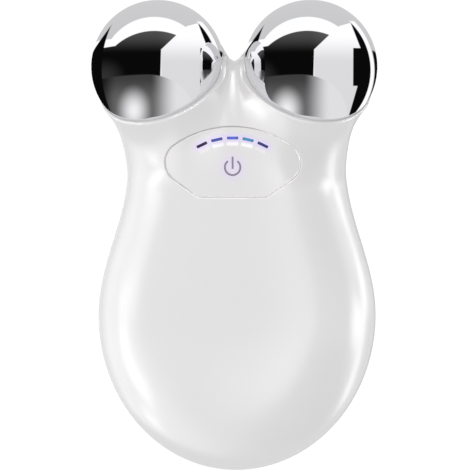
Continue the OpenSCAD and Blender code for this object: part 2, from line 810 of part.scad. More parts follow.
module ring_terminals() color("gold") {
    for (side = [-1, 1])
        at_ball(side) translate([0, 0, -terminal_under]) difference() {
            union() {
                cylinder(r = terminal_r, h = terminal_t);
                translate([0, -terminal_l / 2, 0]) block([terminal_r * 0.7, terminal_l, terminal_t]);
            }
            translate([0, 0, -overrun])
                cylinder(r = ball_screw_r + hole_gap, h = terminal_t + 2 * overrun);
        }
}

module electrode_lead(side) {
    start = from_ball(side, [0, 2 * lead_r - terminal_l, -terminal_under]);
    pad = [side * (board_screw_x + pad_off.x), board_top_y - board_screw_in + pad_off.y, board_under];
    lead(start, -ball_lead_bend * ball_axis(side), pad, board_lead_bend);
}

module left_electrode_lead() color("firebrick") electrode_lead(-1);

module right_electrode_lead() color("darkslategray") electrode_lead(1);

// ---- Key plate and lights --------------------------------------------------------------

// Solid under the front face around the key plate
module key_block() {
    face_block([0, (key_bottom_y + key_top_y) / 2], key_patch, flange_bottom, 1);
}

// Cap under the front face: the plate and its skirt, hollow around the key's post
module key_cap() {
    difference() {
        intersection() {
            key_block();
            translate([0, 0, flange_bottom]) linear_extrude(front_z) polygon(key_outline(0));
        }
        difference() {
            intersection() {
                translate([0, 0, -key_wall]) key_block();
                translate([0, 0, flange_bottom - overrun]) linear_extrude(front_z)
                    polygon(key_outline(-key_skirt));
            }
            translate([0, key_centre_y, plunger_top + post_gap])
                cylinder(r = key_post_r, h = front_z);
        }
    }
}

module window_prisms() {
    at_lights() translate([0, 0, flange_bottom]) block([window_l, window_w, front_z]);
}

module power_key() color("white") {
    difference() {
        union() {
            key_cap();
            translate([0, 0, flange_bottom]) linear_extrude(flange_t) difference() {
                polygon(key_outline(key_gap + flange_reach));
                polygon(key_outline(-key_skirt));
            }
        }
        window_prisms();
    }
}

module light_windows() color("slateblue") {
    intersection() {
        difference() {
            key_block();
            translate([0, 0, -key_wall]) key_block();
        }
        window_prisms();
    }
}

// Opaque block that keeps the lights apart
module light_shroud() color("darkgray") {
    slot_l = max(window_l, led_l) + 2 * shroud_gap;
    slot_w = max(window_w, led_w) + 2 * shroud_gap;
    r_out = light_arc_r + slot_w / 2 + shroud_wall;
    r_in = light_arc_r - slot_w / 2 - shroud_wall;
    reach = light_pitch * (light_count - 1) / 2 + asin((slot_l / 2 + shroud_wall) / light_arc_r);
    top = face_height(0, key_top_y - light_inset, 1) - key_wall - key_travel - shroud_air;
    difference() {
        translate([0, 0, board_z]) linear_extrude(top - board_z)
            polygon(concat(arc([0, light_centre_y], r_out, -reach, reach),
                arc([0, light_centre_y], r_in, reach, -reach)));
        at_lights() translate([0, 0, board_z - overrun])
            block([slot_l, slot_w, front_z]);
    }
}

module indicator_lights() color("lightcyan") {
    at_lights() translate([0, 0, board_z]) block([led_l, led_w, led_h]);
}

// ---- Key switch ------------------------------------------------------------------------

module switch_base() color("dimgray") {
    difference() {
        translate([0, key_centre_y, board_z]) block([switch_w, switch_w, switch_base_h]);
        translate([0, key_centre_y, switch_top - pocket_d])
            cylinder(r = plunger_r + hole_gap, h = pocket_d + overrun);
    }
}

module switch_cover() color("lightgray") {
    difference() {
        translate([0, key_centre_y, switch_top]) block([switch_w, switch_w, switch_cover_t]);
        translate([0, key_centre_y, switch_top - overrun])
            cylinder(r = plunger_r + hole_gap, h = switch_cover_t + 2 * overrun);
    }
}

module switch_plunger() color("black") {
    bottom = switch_top - pocket_d + 2 * key_travel;
    translate([0, key_centre_y, bottom]) cylinder(r = plunger_r, h = plunger_top - bottom);
}

// ---- Main board ------------------------------------------------------------------------

module main_board() color("darkgreen") {
    difference() {
        translate([0, 0, board_under]) linear_extrude(board_t) difference() {
            translate([-board_w, board_bottom_y]) square([2 * board_w, board_l]);
            for (x = [-1, 1], y = [0, 1])
                translate([x * board_w, board_bottom_y + y * board_l])
                    rotate([0, 0, 45]) square(board_corner * sqrt(2), center = true);
        }
        translate([0, 0, board_under - overrun]) {
            at_board_screws() cylinder(r = board_screw_r + hole_gap, h = board_t + 2 * overrun);
            at_case_screws() cylinder(r = front_boss_r + board_hole_gap, h = board_t + 2 * overrun);
        }
    }
}

module controller_chip() color("black") {
    translate([0, mcu_y, board_z]) block([mcu_w, mcu_w, mcu_h]);
}

module step_up_coil() color("darkslategray") {
    translate([coil_x, coil_y, board_under - coil_h]) cylinder(r = coil_r, h = coil_h);
}

module output_capacitors() color("midnightblue") {
    for (side = [-1, 1])
        translate([side * cap_x, cap_y, board_under - cap_h]) cylinder(r = cap_r, h = cap_h);
}

module resistors() color("black") {
    for (side = [-1, 1], i = [0:resistor_count - 1])
        let (x = side * (mcu_w / 2 + resistor_off))
            let (y = mcu_y + resistor_pitch * (i - (resistor_count - 1) / 2))
                translate([x, y, board_z]) block([resistor_l, resistor_w, resistor_h]);
}

module buzzer() color("black") {
    translate([-buzzer_x, buzzer_y, board_under - buzzer_h]) difference() {
        cylinder(r = buzzer_r, h = buzzer_h);
        translate([0, 0, -overrun]) cylinder(r = buzzer_hole_r, h = buzzer_hole_r + overrun);
    }
}

module battery_connector() color("ivory") {
    translate([0, plug_y, board_under - plug_h]) block([plug_w, plug_l, plug_h]);
}

// ---- Battery ---------------------------------------------------------------------------

module battery() color("gainsboro") {
    r = battery_corner_r;
    translate([0, battery_y - battery_l / 2, battery_z]) rotate([-90, 0, 0])
        linear_extrude(battery_l) union() {
            translate([-battery_w / 2 + r, -battery_t]) square([battery_w - 2 * r, battery_t]);
            translate([-battery_w / 2, -battery_t + r]) square([battery_w, battery_t - 2 * r]);
            for (x = [-1, 1], y = [0, 1])
                translate([x * (battery_w / 2 - r), -r - y * (battery_t - 2 * r)]) circle(r = r);
        }
}

module battery_pad() color("gray") {
    translate([0, battery_y, plate_pad_z]) block([2 * plate_w, battery_l - 2 * tray_t, pad_t]);
}

module battery_leads() color("crimson") {
    for (x = [-lead_pitch / 2, lead_pitch / 2])
        lead([x, battery_y + battery_l / 2, battery_z + battery_t - battery_corner_r], battery_lead_bend,
            [x, plug_y + plug_l / 2, board_under - plug_h / 2], plug_lead_bend);
}

// ---- Charging socket -------------------------------------------------------------------

module charging_board() color("darkgreen") {
    difference() {
        translate([0, charge_board_y + charge_board_l / 2, charge_board_under])
            block([charge_board_w, charge_board_l, charge_board_t]);
        at_charge_screws() translate([0, 0, charge_board_under - overrun])
            cylinder(r = board_screw_r + hole_gap, h = charge_board_t + 2 * overrun);
    }
}

module charger_chip() color("black") {
    translate([0, socket_mouth_y + socket_l + charger_w, charge_board_z])
        block([charger_w, charger_w, charger_h]);
}

module socket_shell() color("silver") {
    translate([0, socket_mouth_y, socket_z]) difference() {
        slot_shape(socket_w, socket_h, socket_l);
        translate([0, -overrun, 0])
            slot_shape(socket_w - 2 * socket_t, socket_h - 2 * socket_t, socket_l - socket_back + overrun);
    }
}

module socket_tongue() color("black") {
    l = socket_l - socket_back - tongue_in;
    translate([0, socket_mouth_y + tongue_in + l / 2, socket_z - tongue_t / 2])
        block([tongue_w, l, tongue_t]);
}

module charging_leads() color("crimson") {
    for (x = [-lead_pitch / 2, lead_pitch / 2])
        lead([x, charge_board_y + charge_board_l - 3 * lead_r, charge_board_z], charge_lead_bend,
            [x, board_bottom_y + 3 * lead_r, board_under], board_lead_bend);
}

// ---- Screws ----------------------------------------------------------------------------

module board_screws() color("lightsteelblue") {
    at_board_screws() translate([0, 0, board_under]) screw(board_screw_r, board_screw_l + board_t);
}

module charging_board_screws() color("lightsteelblue") {
    at_charge_screws() translate([0, 0, charge_board_z]) rotate([180, 0, 0])
        screw(board_screw_r, charge_screw_l + charge_board_t);
}

module case_screws() color("lightsteelblue") {
    at_case_screws() translate([0, 0, case_head_z])
        screw(case_screw_r, case_screw_l + case_screw_grip);
}

front_shell();
rear_shell();
back_plate();
left_electrode();
right_electrode();
electrode_seals();
electrode_screws();
ring_terminals();
left_electrode_lead();
right_electrode_lead();
power_key();
light_windows();
light_shroud();
indicator_lights();
switch_base();
switch_cover();
switch_plunger();
main_board();
controller_chip();
step_up_coil();
output_capacitors();
resistors();
buzzer();
battery_connector();
battery();
battery_pad();
battery_leads();
charging_board();
charger_chip();
socket_shell();
socket_tongue();
charging_leads();
board_screws();
charging_board_screws();
case_screws();
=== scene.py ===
"""Facial toning device: its visible pieces, their finishes and the studio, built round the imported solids.

The casing, the key plate and the back plate follow one smooth surface, the skin: an egg-shaped body that
blends into two round necks. Every length is in metres, in the frame of the solids.
"""

import json
import math

import bmesh
import bpy
import numpy as np
from bpy.props import FloatProperty, FloatVectorProperty, IntProperty, PointerProperty
from mathutils import Matrix, Vector


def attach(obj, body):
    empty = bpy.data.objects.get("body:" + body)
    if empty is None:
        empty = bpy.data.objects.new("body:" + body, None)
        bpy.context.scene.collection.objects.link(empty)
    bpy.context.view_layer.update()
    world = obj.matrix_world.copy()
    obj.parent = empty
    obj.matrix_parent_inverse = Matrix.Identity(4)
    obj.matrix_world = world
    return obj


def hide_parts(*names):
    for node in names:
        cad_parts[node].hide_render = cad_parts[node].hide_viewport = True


bl_info = {
    "name": "Facial toning device",
    "version": (1, 0, 0),
    "blender": (4, 5, 0),
    "location": "View3D > Sidebar > Toning device",
    "description": "Builds the casing, electrodes, key plate and studio of a facial toning device",
    "category": "Add Mesh",
}

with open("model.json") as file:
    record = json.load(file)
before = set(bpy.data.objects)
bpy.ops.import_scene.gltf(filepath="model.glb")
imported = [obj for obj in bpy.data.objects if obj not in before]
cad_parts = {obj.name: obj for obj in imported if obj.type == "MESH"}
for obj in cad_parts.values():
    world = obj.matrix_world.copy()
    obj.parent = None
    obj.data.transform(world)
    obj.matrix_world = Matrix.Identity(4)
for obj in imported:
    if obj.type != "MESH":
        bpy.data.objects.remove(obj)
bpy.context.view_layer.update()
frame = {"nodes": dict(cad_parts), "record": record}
MM = 0.001

# ---- Sizes of the solids ---------------------------------------------------------------

# Body of the casing
BELLY_HALF_WIDTH = 34.15 * MM
BELLY_Y = -19.8 * MM
TIP_Y = -57.8 * MM
WAIST_HALF_WIDTH = 26.8 * MM
WAIST_Y = 17.5 * MM
CROWN_Y = 38.2 * MM
FRONT_Z = 35.4 * MM
BACK_DROP = 0.4 * MM
SEAM_Z = 18.2 * MM
SEAM_RISE = 5.5 * MM
SEAM_START_Y = 8 * MM
SQUARENESS = 2.25
CROWN_SQUARENESS = 2.5
WALL = 1.8 * MM

# Necks that carry the balls
NECK_BLEND = 5 * MM
CROWN_BLEND = 8 * MM
NECK_ROOT = np.array([6, 15, 18]) * MM
NECK_ROOT_RADIUS = 8.5 * MM

# Balls, their cups and their posts, with depths below the centre along the axis
BALL_RADIUS = 16.4 * MM
BALL_CENTRE = np.array([18.8, 41.4, 29.1]) * MM
BALL_LIFT = math.radians(38)
BALL_SPLAY = math.radians(22.8)
BALL_AXIS = np.array([
    math.cos(BALL_LIFT) * math.sin(BALL_SPLAY),
    math.cos(BALL_LIFT) * math.cos(BALL_SPLAY),
    math.sin(BALL_LIFT),
])
BALL_WALL = 0.8 * MM
RIM_LIP = 0.6 * MM
RIM_DEPTH = 3.37 * MM
BALL_BASE = 8.37 * MM
POST_BASE = 9.17 * MM
POST_RADIUS = 3 * MM
POST_SIDES = 48
SEAT_RADIUS = 16.43 * MM

# Flat that the rounded rim leaves beside the ball, and the web between the cups
RIM_LAND = 0.03 * MM
ROUND_SHARE = 0.7
RIM_BLEND = 1.2 * MM
WEB_HALF_WIDTH = 1.6 * MM

# Key plate
KEY_HALF_WIDTH = 16.4 * MM
KEY_TOP_Y = 26.4 * MM
KEY_BOTTOM_Y = 9.5 * MM
KEY_SIDE_Y = 17.8 * MM
KEY_SIDE_RADIUS = 5 * MM
KEY_TAPER = math.radians(35.4)
KEY_CORNER_RADIUS = 2 * MM
KEY_GAP = 0.25 * MM
KEY_THICKNESS = 1.6 * MM
KEY_LEDGE = 0.85 * KEY_GAP
SYMBOL_Y = 16.6 * MM
INLAY_EDGE = 0.06 * MM
SHARP_ANGLE = math.radians(60)

# Lights in the key plate, on an arc below its top
LIGHT_COUNT = 5
LIGHT_ARC_RADIUS = 17.4 * MM
LIGHT_INSET = 2.6 * MM
LIGHT_ARC_Y = KEY_TOP_Y - LIGHT_INSET - LIGHT_ARC_RADIUS
LIGHT_PITCH = math.radians(12.75)
LIGHT_LENGTH = 2.8 * MM
LIGHT_WIDTH = 0.75 * MM

# Glow on the key plate round the lights and round the symbol
GLOW_SOFTNESS = 0.5 * MM
HALO_HALF_LENGTH = LIGHT_LENGTH / 2 + 1 * MM
HALO_HALF_WIDTH = 1.3 * MM
SYMBOL_HALO = 0.75
SYMBOL_HALO_RADIUS = 3.1 * MM
SYMBOL_HALO_SOFTNESS = 3.2 * MM

# Back plate and charging opening
PLATE_HALF_WIDTH = 11 * MM
PLATE_TOP_Y = 20 * MM
PLATE_BOTTOM_Y = -29 * MM
PLATE_CORNER_RADIUS = 5 * MM
PLATE_THICKNESS = 1.4 * MM
PLATE_GAP = 0.15 * MM
PLATE_GROOVE_DEPTH = 3 * PLATE_GAP
SOCKET_Z = 17.8 * MM
SOCKET_MOUTH_Y = -55.6 * MM
SOCKET_HALF_WIDTH = 4.67 * MM
SOCKET_HALF_HEIGHT = 1.83 * MM
SOCKET_STRAIGHT = SOCKET_HALF_WIDTH - SOCKET_HALF_HEIGHT
NEAR_SOCKET_Y = -43 * MM
SOCKET_FACETS = 20

# Middle that the skin is measured from, and how closely
CORE_Y = 14 * MM
CORE_REACH = 90 * MM
HALVINGS = 34
SLOPE_STEP = 0.01 * MM
LEAST_SLOPE = 0.02 / MM
LEAST_RING = 1e-4
RIM_ROUNDS = 8
SAME_PLACE = 0.0005 * MM
ON_SKIN = 0.008 * MM
NEAR_EDGE = 0.05 * MM

# How finely the pieces are meshed: faces round and from the middle out or along
TURN_WEIGHT = 12 * MM
TRIAL_AROUND = 8
TRIAL_ALONG = 4
EDGE_STEPS = 5
ROUND_ANGLES = [math.pi / 2 * (i + 1) / EDGE_STEPS for i in range(EDGE_STEPS)]
ARC_STEPS = 160
OUTLINE_STEPS = 900
KEY_STEPS = (120, 40)
PLATE_STEPS = (100, 20)

# Kinds of edge, which add up where two meet
SEAM_EDGE = 1
RIM_EDGE = 2
OPENING_EDGE = 4
SOCKET_EDGE = 8

# Finishes
BLACK = (0, 0, 0, 1)
WHITE = (1, 1, 1, 1)
PLASTIC_IOR = 1.5
PLASTIC_RIPPLE = 220
RIPPLE_STRENGTH = 0.04
RIPPLE_DEPTH = 0.004 * MM
RIPPLE_GLOSS = 0.06
PAD_COLOUR = (0.75, 0.72, 0.6, 1)
INLAY_SHINE = 0.15
INLAY_ROUGHNESS = 0.4

# Studio: what the balls and the plastic mirror, and the floor
BLACK_CARD = 0.003
CARD_EDGE = 0.012
PANEL_BOUNCES = 2.5
FLOOR_SHADES = (0.84, 0.84, 0.84, 1), (0.86, 0.86, 0.86, 1)
FLOOR_GLOW = 1.16
FLOOR_GLOW_SHARE = 0.8


# ---- The skin --------------------------------------------------------------------------

def smooth_min(a, b, radius):
    """Smaller of two distances, with a blend of that radius where they meet."""
    overlap = np.maximum(radius - np.abs(a - b), 0) / radius
    return np.minimum(a, b) - overlap * overlap * radius / 4


def seam_height(y):
    """Height of the seam between the two shells."""
    to_tip = np.maximum((BELLY_Y - y) / (BELLY_Y - TIP_Y), 0)
    to_ball = np.clip((y - SEAM_START_Y) / (BALL_CENTRE[1] - SEAM_START_Y), 0, 1)
    rise = to_ball * to_ball * (3 - 2 * to_ball)
    return SEAM_Z + SEAM_RISE * to_tip * to_tip + (BALL_CENTRE[2] - SEAM_Z) * rise


def half_width(y):
    """Half width of the body, widest at the belly and narrowest at the waist."""
    share = np.clip((y - BELLY_Y) / (WAIST_Y - BELLY_Y), 0, 1)
    middle = (BELLY_HALF_WIDTH + WAIST_HALF_WIDTH) / 2
    return middle + (BELLY_HALF_WIDTH - WAIST_HALF_WIDTH) / 2 * np.cos(math.pi * share)


def body_distance(points):
    """Distance of points from the egg-shaped body, below zero inside it."""
    x, y, z = points[..., 0], points[..., 1], points[..., 2]
    tip_length = BELLY_Y - TIP_Y
    crown_length = CROWN_Y - WAIST_Y
    to_tip = np.maximum((BELLY_Y - y) / tip_length, 0)
    to_crown = np.maximum((y - WAIST_Y) / crown_length, 0)
    width = half_width(y)
    seam = seam_height(y)
    height = np.where(z > seam, FRONT_Z - seam, seam + BACK_DROP)
    across = np.abs(x) / width
    upright = np.abs(z - seam) / height
    ring = (across**SQUARENESS + upright**SQUARENESS) ** (1 / SQUARENESS)
    ring = np.maximum(ring, LEAST_RING)
    size = np.sqrt(ring * ring + to_tip * to_tip + to_crown**CROWN_SQUARENESS)
    slope_x = (across / ring) ** (SQUARENESS - 1) / width * ring / size
    slope_z = (upright / ring) ** (SQUARENESS - 1) / height * ring / size
    crown_slope = CROWN_SQUARENESS * to_crown ** (CROWN_SQUARENESS - 1) / crown_length
    slope_y = (crown_slope - 2 * to_tip / tip_length) / 2 / size
    slope = np.sqrt(slope_x**2 + slope_y**2 + slope_z**2)
    return (size - 1) / np.maximum(slope, LEAST_SLOPE)


def neck_distance(points, side):
    """Distance of points from one neck, a cone with round ends, side -1 on the left and 1 on the right."""
    mirror = np.array([side, 1, 1])
    start = BALL_CENTRE * mirror
    length = np.linalg.norm(NECK_ROOT - BALL_CENTRE)
    unit = (NECK_ROOT - BALL_CENTRE) * mirror / length
    cup_radius = BALL_RADIUS + RIM_LIP
    slope = (cup_radius - NECK_ROOT_RADIUS) / length
    flank = math.sqrt(1 - slope * slope)
    offset = points - start
    along = offset @ unit
    out = np.sqrt(np.maximum((offset**2).sum(-1) - along * along, 0))
    place = flank * along - slope * out
    distance = out * flank + along * slope - cup_radius
    distance = np.where(place < 0, np.hypot(out, along) - cup_radius, distance)
    root_distance = np.hypot(out, along - length) - NECK_ROOT_RADIUS
    return np.where(place > flank * length, root_distance, distance)


def skin(points):
    """Distance of points from the skin of the casing, below zero inside it."""
    necks = smooth_min(neck_distance(points, 1), neck_distance(points, -1), NECK_BLEND)
    return smooth_min(body_distance(points), necks, CROWN_BLEND)


def outer_skin(points):
    """The skin, cut off flat where the device rests on its back."""
    return np.maximum(skin(points), -points[..., 2])


def skin_normal(points):
    """Unit vectors that stand on the skin at points, pointing outwards."""
    slopes = [skin(points + step) - skin(points - step) for step in np.eye(3) * SLOPE_STEP]
    normal = np.stack(slopes, -1)
    flat = (points[..., 2] < SAME_PLACE) & (skin(points) < -SAME_PLACE)
    normal = np.where(flat[..., None], np.array([0, 0, -1.0]), normal)
    return normal / np.linalg.norm(normal, axis=-1, keepdims=True)


def level_to_row(across, along, above):
    """Points from a space where the seam is level."""
    return np.stack([across, along, seam_height(along) + above], -1)


def leave_skin(place, low, high):
    """Distances between low and high at which the points that place gives for them leave the skin."""
    for _ in range(HALVINGS):
        middle = (low + high) / 2
        inside = outer_skin(place(middle)) < 0
        low = np.where(inside, middle, low)
        high = np.where(inside, high, middle)
    return (low + high) / 2


def skin_along(heading, lift):
    """Points where rays from the casing's middle leave the skin, lift being the angle above the seam."""

    def place(reach):
        flat = reach * np.cos(lift)
        along = CORE_Y + flat * np.cos(heading)
        return level_to_row(flat * np.sin(heading), along, reach * np.sin(lift))

    return place(leave_skin(place, MM, CORE_REACH))


def face_height(x, y, up):
    """Height of the skin over x, y: on the front for up = 1 and on the back for up = -1."""
    seam = seam_height(y)

    def place(rise):
        return np.stack([x, y, seam + up * rise], -1)

    return seam + up * leave_skin(place, 0, 2 * FRONT_Z)


# ---- Outlines --------------------------------------------------------------------------

def arc(centre, radius, start, end):
    """Points of an arc round centre and the directions in which they face, angles clockwise from +Y."""
    angle = np.linspace(start, end, ARC_STEPS)
    facing = np.stack([np.sin(angle), np.cos(angle)], -1)
    return np.array(centre) + radius * facing, facing


def key_outline():
    """Right half of the key plate's outline from the top to the bottom, with its outward directions."""
    side_x = KEY_HALF_WIDTH - KEY_SIDE_RADIUS
    rise = KEY_SIDE_Y - KEY_TOP_Y
    top_radius = (KEY_SIDE_RADIUS**2 - side_x**2 - rise**2) / (2 * (rise + KEY_SIDE_RADIUS))
    top_centre = KEY_TOP_Y - top_radius
    lean = math.atan2(side_x, KEY_SIDE_Y - top_centre)
    corner_y = KEY_BOTTOM_Y + KEY_CORNER_RADIUS
    reach = KEY_SIDE_RADIUS - KEY_CORNER_RADIUS + (corner_y - KEY_SIDE_Y) * math.cos(KEY_TAPER)
    corner_x = side_x + reach / math.sin(KEY_TAPER)
    turn = math.pi - KEY_TAPER
    return join_arcs([
        arc((0, top_centre), top_radius, 0, lean),
        arc((side_x, KEY_SIDE_Y), KEY_SIDE_RADIUS, lean, turn),
        arc((corner_x, corner_y), KEY_CORNER_RADIUS, turn, math.pi),
        (np.array([[0, KEY_BOTTOM_Y]]), np.array([[0, -1.0]])),
    ])


def plate_outline():
    """Right half of the back plate's outline from the top to the bottom, with its outward directions."""
    corner_x = PLATE_HALF_WIDTH - PLATE_CORNER_RADIUS
    upper = PLATE_TOP_Y - PLATE_CORNER_RADIUS
    lower = PLATE_BOTTOM_Y + PLATE_CORNER_RADIUS
    return join_arcs([
        (np.array([[0, PLATE_TOP_Y]]), np.array([[0, 1.0]])),
        arc((corner_x, upper), PLATE_CORNER_RADIUS, 0, math.pi / 2),
        arc((corner_x, lower), PLATE_CORNER_RADIUS, math.pi / 2, math.pi),
        (np.array([[0, PLATE_BOTTOM_Y]]), np.array([[0, -1.0]])),
    ])


def join_arcs(parts):
    """One outline from arcs that follow each other."""
    return np.concatenate([p for p, _ in parts]), np.concatenate([f for _, f in parts])


def opening_outline(outline, gap):
    """Outline of an opening that leaves a gap round its plate."""
    points, facing = even_outline(outline, OUTLINE_STEPS)
    return points + gap * facing, facing


def lengths(points):
    """Length along a line of points, from 0 at its start."""
    steps = np.linalg.norm(np.diff(points, axis=0), axis=-1)
    return np.concatenate([[0], np.cumsum(steps)])


def even_outline(outline, count):
    """The outline at evenly spaced places, with the directions it faces."""
    points, facing = outline
    along = lengths(points)
    wanted = np.linspace(0, along[-1], count + 1)
    place = np.stack([np.interp(wanted, along, points[:, i]) for i in range(2)], -1)
    faced = np.stack([np.interp(wanted, along, facing[:, i]) for i in range(2)], -1)
    return place, faced / np.linalg.norm(faced, axis=-1, keepdims=True)


# ---- Meshes ----------------------------------------------------------------------------

def coordinates(verts):
    """Places of a list of mesh vertices as one array."""
    return np.array([v.co for v in verts], float).reshape(-1, 3)


def everything(mesh):
    """All vertices, edges and faces of a mesh."""
    return mesh.verts[:] + mesh.edges[:] + mesh.faces[:]


def place_verts(verts, points):
    """Moves each vertex to its point."""
    for vert, point in zip(verts, points):
        vert.co = point


def grid_sheet(mesh, points):
    """Adds a sheet of faces over a two-way table of points and returns its vertices with their rows."""
    rows, columns = points.shape[0] - 1, points.shape[1] - 1
    made = bmesh.ops.create_grid(mesh, x_segments=columns, y_segments=rows, size=1)["verts"]
    share = (coordinates(made) + 1) / 2
    row = np.rint(share[:, 1] * rows).astype(int)
    column = np.rint(share[:, 0] * columns).astype(int)
    place_verts(made, points[row, column])
    return zip(made, row)


def grow_edge(mesh, edges, place):
    """Extrudes edges once, moves the new vertices with place and returns the new edges."""
    made = bmesh.ops.extrude_edge_only(mesh, edges=edges)["geom"]
    verts = [v for v in made if isinstance(v, bmesh.types.BMVert)]
    place_verts(verts, place(verts))
    fresh = set(verts)
    return [e for e in made if isinstance(e, bmesh.types.BMEdge) and set(e.verts) <= fresh]


def close_and_face_out(mesh):
    """Welds the seams of a closed mesh and turns its faces outwards."""
    bmesh.ops.remove_doubles(mesh, verts=mesh.verts[:], dist=SAME_PLACE)
    bmesh.ops.dissolve_degenerate(mesh, dist=SAME_PLACE / 10, edges=mesh.edges[:])
    bmesh.ops.recalc_face_normals(mesh, faces=mesh.faces[:])
    if mesh.calc_volume(signed=True) < 0:
        bmesh.ops.reverse_faces(mesh, faces=mesh.faces[:])


def add_object(name, data):
    """A new object of the scene."""
    made = bpy.data.objects.new(name, data)
    bpy.context.scene.collection.objects.link(made)
    return made


def mesh_data(name, mesh, material):
    """Data of an object, with one material, from a mesh that is done."""
    data = bpy.data.meshes.new(name)
    mesh.to_mesh(data)
    mesh.free()
    data.materials.append(material)
    return data


def finish_piece(mesh, name, body, material, nodes=(), follows_skin=False):
    """Makes an object of a mesh, which rides on a body and stands for CAD nodes."""
    data = mesh_data(name, mesh, material)
    data.shade_smooth()
    if follows_skin:
        points = np.empty(len(data.vertices) * 3)
        data.vertices.foreach_get("co", points)
        points = points.reshape(-1, 3)
        normals = np.array([n.vector for n in data.vertex_normals])
        on_skin = np.abs(outer_skin(points)) < ON_SKIN
        normals[on_skin] = skin_normal(points[on_skin])
        data.normals_split_custom_set_from_vertices(normals)
    piece = add_object(name, data)
    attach(piece, body)
    if nodes:
        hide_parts(*nodes)


# ---- Shells ----------------------------------------------------------------------------

def heading_of(points):
    """Direction of points round the middle of the casing, 0 towards +Y and a quarter turn towards +X."""
    return np.arctan2(points[:, 0], points[:, 1] - CORE_Y)


def skin_rings(outline, up, settings):
    """Points of half a shell's skin: rows from its opening to the seam, columns from +Y round to -Y."""
    around, along = settings.steps_around, settings.steps_along
    points, facing = outline
    points = points + settings.opening_edge * facing
    fine = np.linspace(0, math.pi, TRIAL_AROUND * around + 1)
    opening = np.stack([np.interp(fine, heading_of(points), points[:, i]) for i in range(2)], -1)
    height = face_height(opening[:, 0], opening[:, 1], up)
    far = np.hypot(opening[:, 0], opening[:, 1] - CORE_Y)
    start = np.arctan2(height - seam_height(opening[:, 1]), far)
    above = up * settings.seam_edge

    def beside_seam(reach):
        return level_to_row(reach * np.sin(fine), CORE_Y + reach * np.cos(fine), above)

    end = np.arctan2(above, leave_skin(beside_seam, MM, CORE_REACH))
    rims = [
        lengths(np.column_stack([opening, height])),
        lengths(skin_along(fine, end)),
        lengths(skin_along(fine, (start + end) / 2)),
    ]
    spread = sum(rim / rim[-1] for rim in rims)
    heading = np.interp(np.linspace(0, spread[-1], around + 1), spread, fine)
    start, end = np.interp(heading, fine, start), np.interp(heading, fine, end)
    share = np.linspace(0, 1, TRIAL_ALONG * along + 1)[:, None]
    lift = start + (end - start) * share
    trial = skin_along(np.broadcast_to(heading, lift.shape), lift)
    normal = skin_normal(trial)
    step = np.linalg.norm(np.diff(trial, axis=0), axis=-1)
    step += TURN_WEIGHT * np.linalg.norm(np.diff(normal, axis=0), axis=-1)
    run = np.concatenate([np.zeros((1, around + 1)), np.cumsum(step, axis=0)])
    run /= run[-1]
    wanted = np.linspace(0, 1, along + 1)
    lift = np.stack([np.interp(wanted, run[:, j], lift[:, j]) for j in range(around + 1)], -1)
    return skin_along(np.broadcast_to(heading, lift.shape), lift)


def past_flat_rim(points, edge):
    """Distance past the flat plane in which the rim round the ball lies."""
    return (points - BALL_CENTRE) @ BALL_AXIS + RIM_DEPTH + edge


def on_web(points, edge):
    """Share of the web between the cups in the place of the rim's line, 0 where the line is flat."""
    depth = past_flat_rim(points, edge)
    return np.clip(0.5 + (depth - points[..., 0] + WEB_HALF_WIDTH) / (2 * RIM_BLEND), 0, 1)[..., None]


def past_rim(points, edge):
    """Distance past the line where the shells end round a ball, below zero on the side that is kept."""
    return smooth_min(past_flat_rim(points, edge), points[..., 0] - WEB_HALF_WIDTH, RIM_BLEND)


def past_rim_direction(points, edge):
    """Unit directions in which the distance past the rim's line grows."""
    direction = BALL_AXIS + on_web(points, edge) * (np.array([1.0, 0, 0]) - BALL_AXIS)
    return direction / np.linalg.norm(direction, axis=-1, keepdims=True)


def cut_rim(mesh, edge):
    """Removes the sheet past the rim's line, which is straight while the mesh is spread out by distance."""
    place = mesh.verts.layers.float_vector.new("place")
    beyond = past_rim(coordinates(mesh.verts), edge)
    for vert, value in zip(mesh.verts, beyond):
        vert[place] = vert.co
        vert.co.x = value
    cut = bmesh.ops.bisect_plane(
        mesh, geom=everything(mesh), dist=SAME_PLACE, plane_no=(1, 0, 0), clear_outer=True)["geom_cut"]
    for vert in mesh.verts:
        vert.co = vert[place]
    line = [v for v in cut if isinstance(v, bmesh.types.BMVert)]
    points = coordinates(line)
    for _ in range(RIM_ROUNDS):
        points -= skin(points)[:, None] * skin_normal(points)
        points -= past_rim(points, edge)[:, None] * past_rim_direction(points, edge)
    place_verts(line, points)
    mesh.verts.layers.float_vector.remove(place)


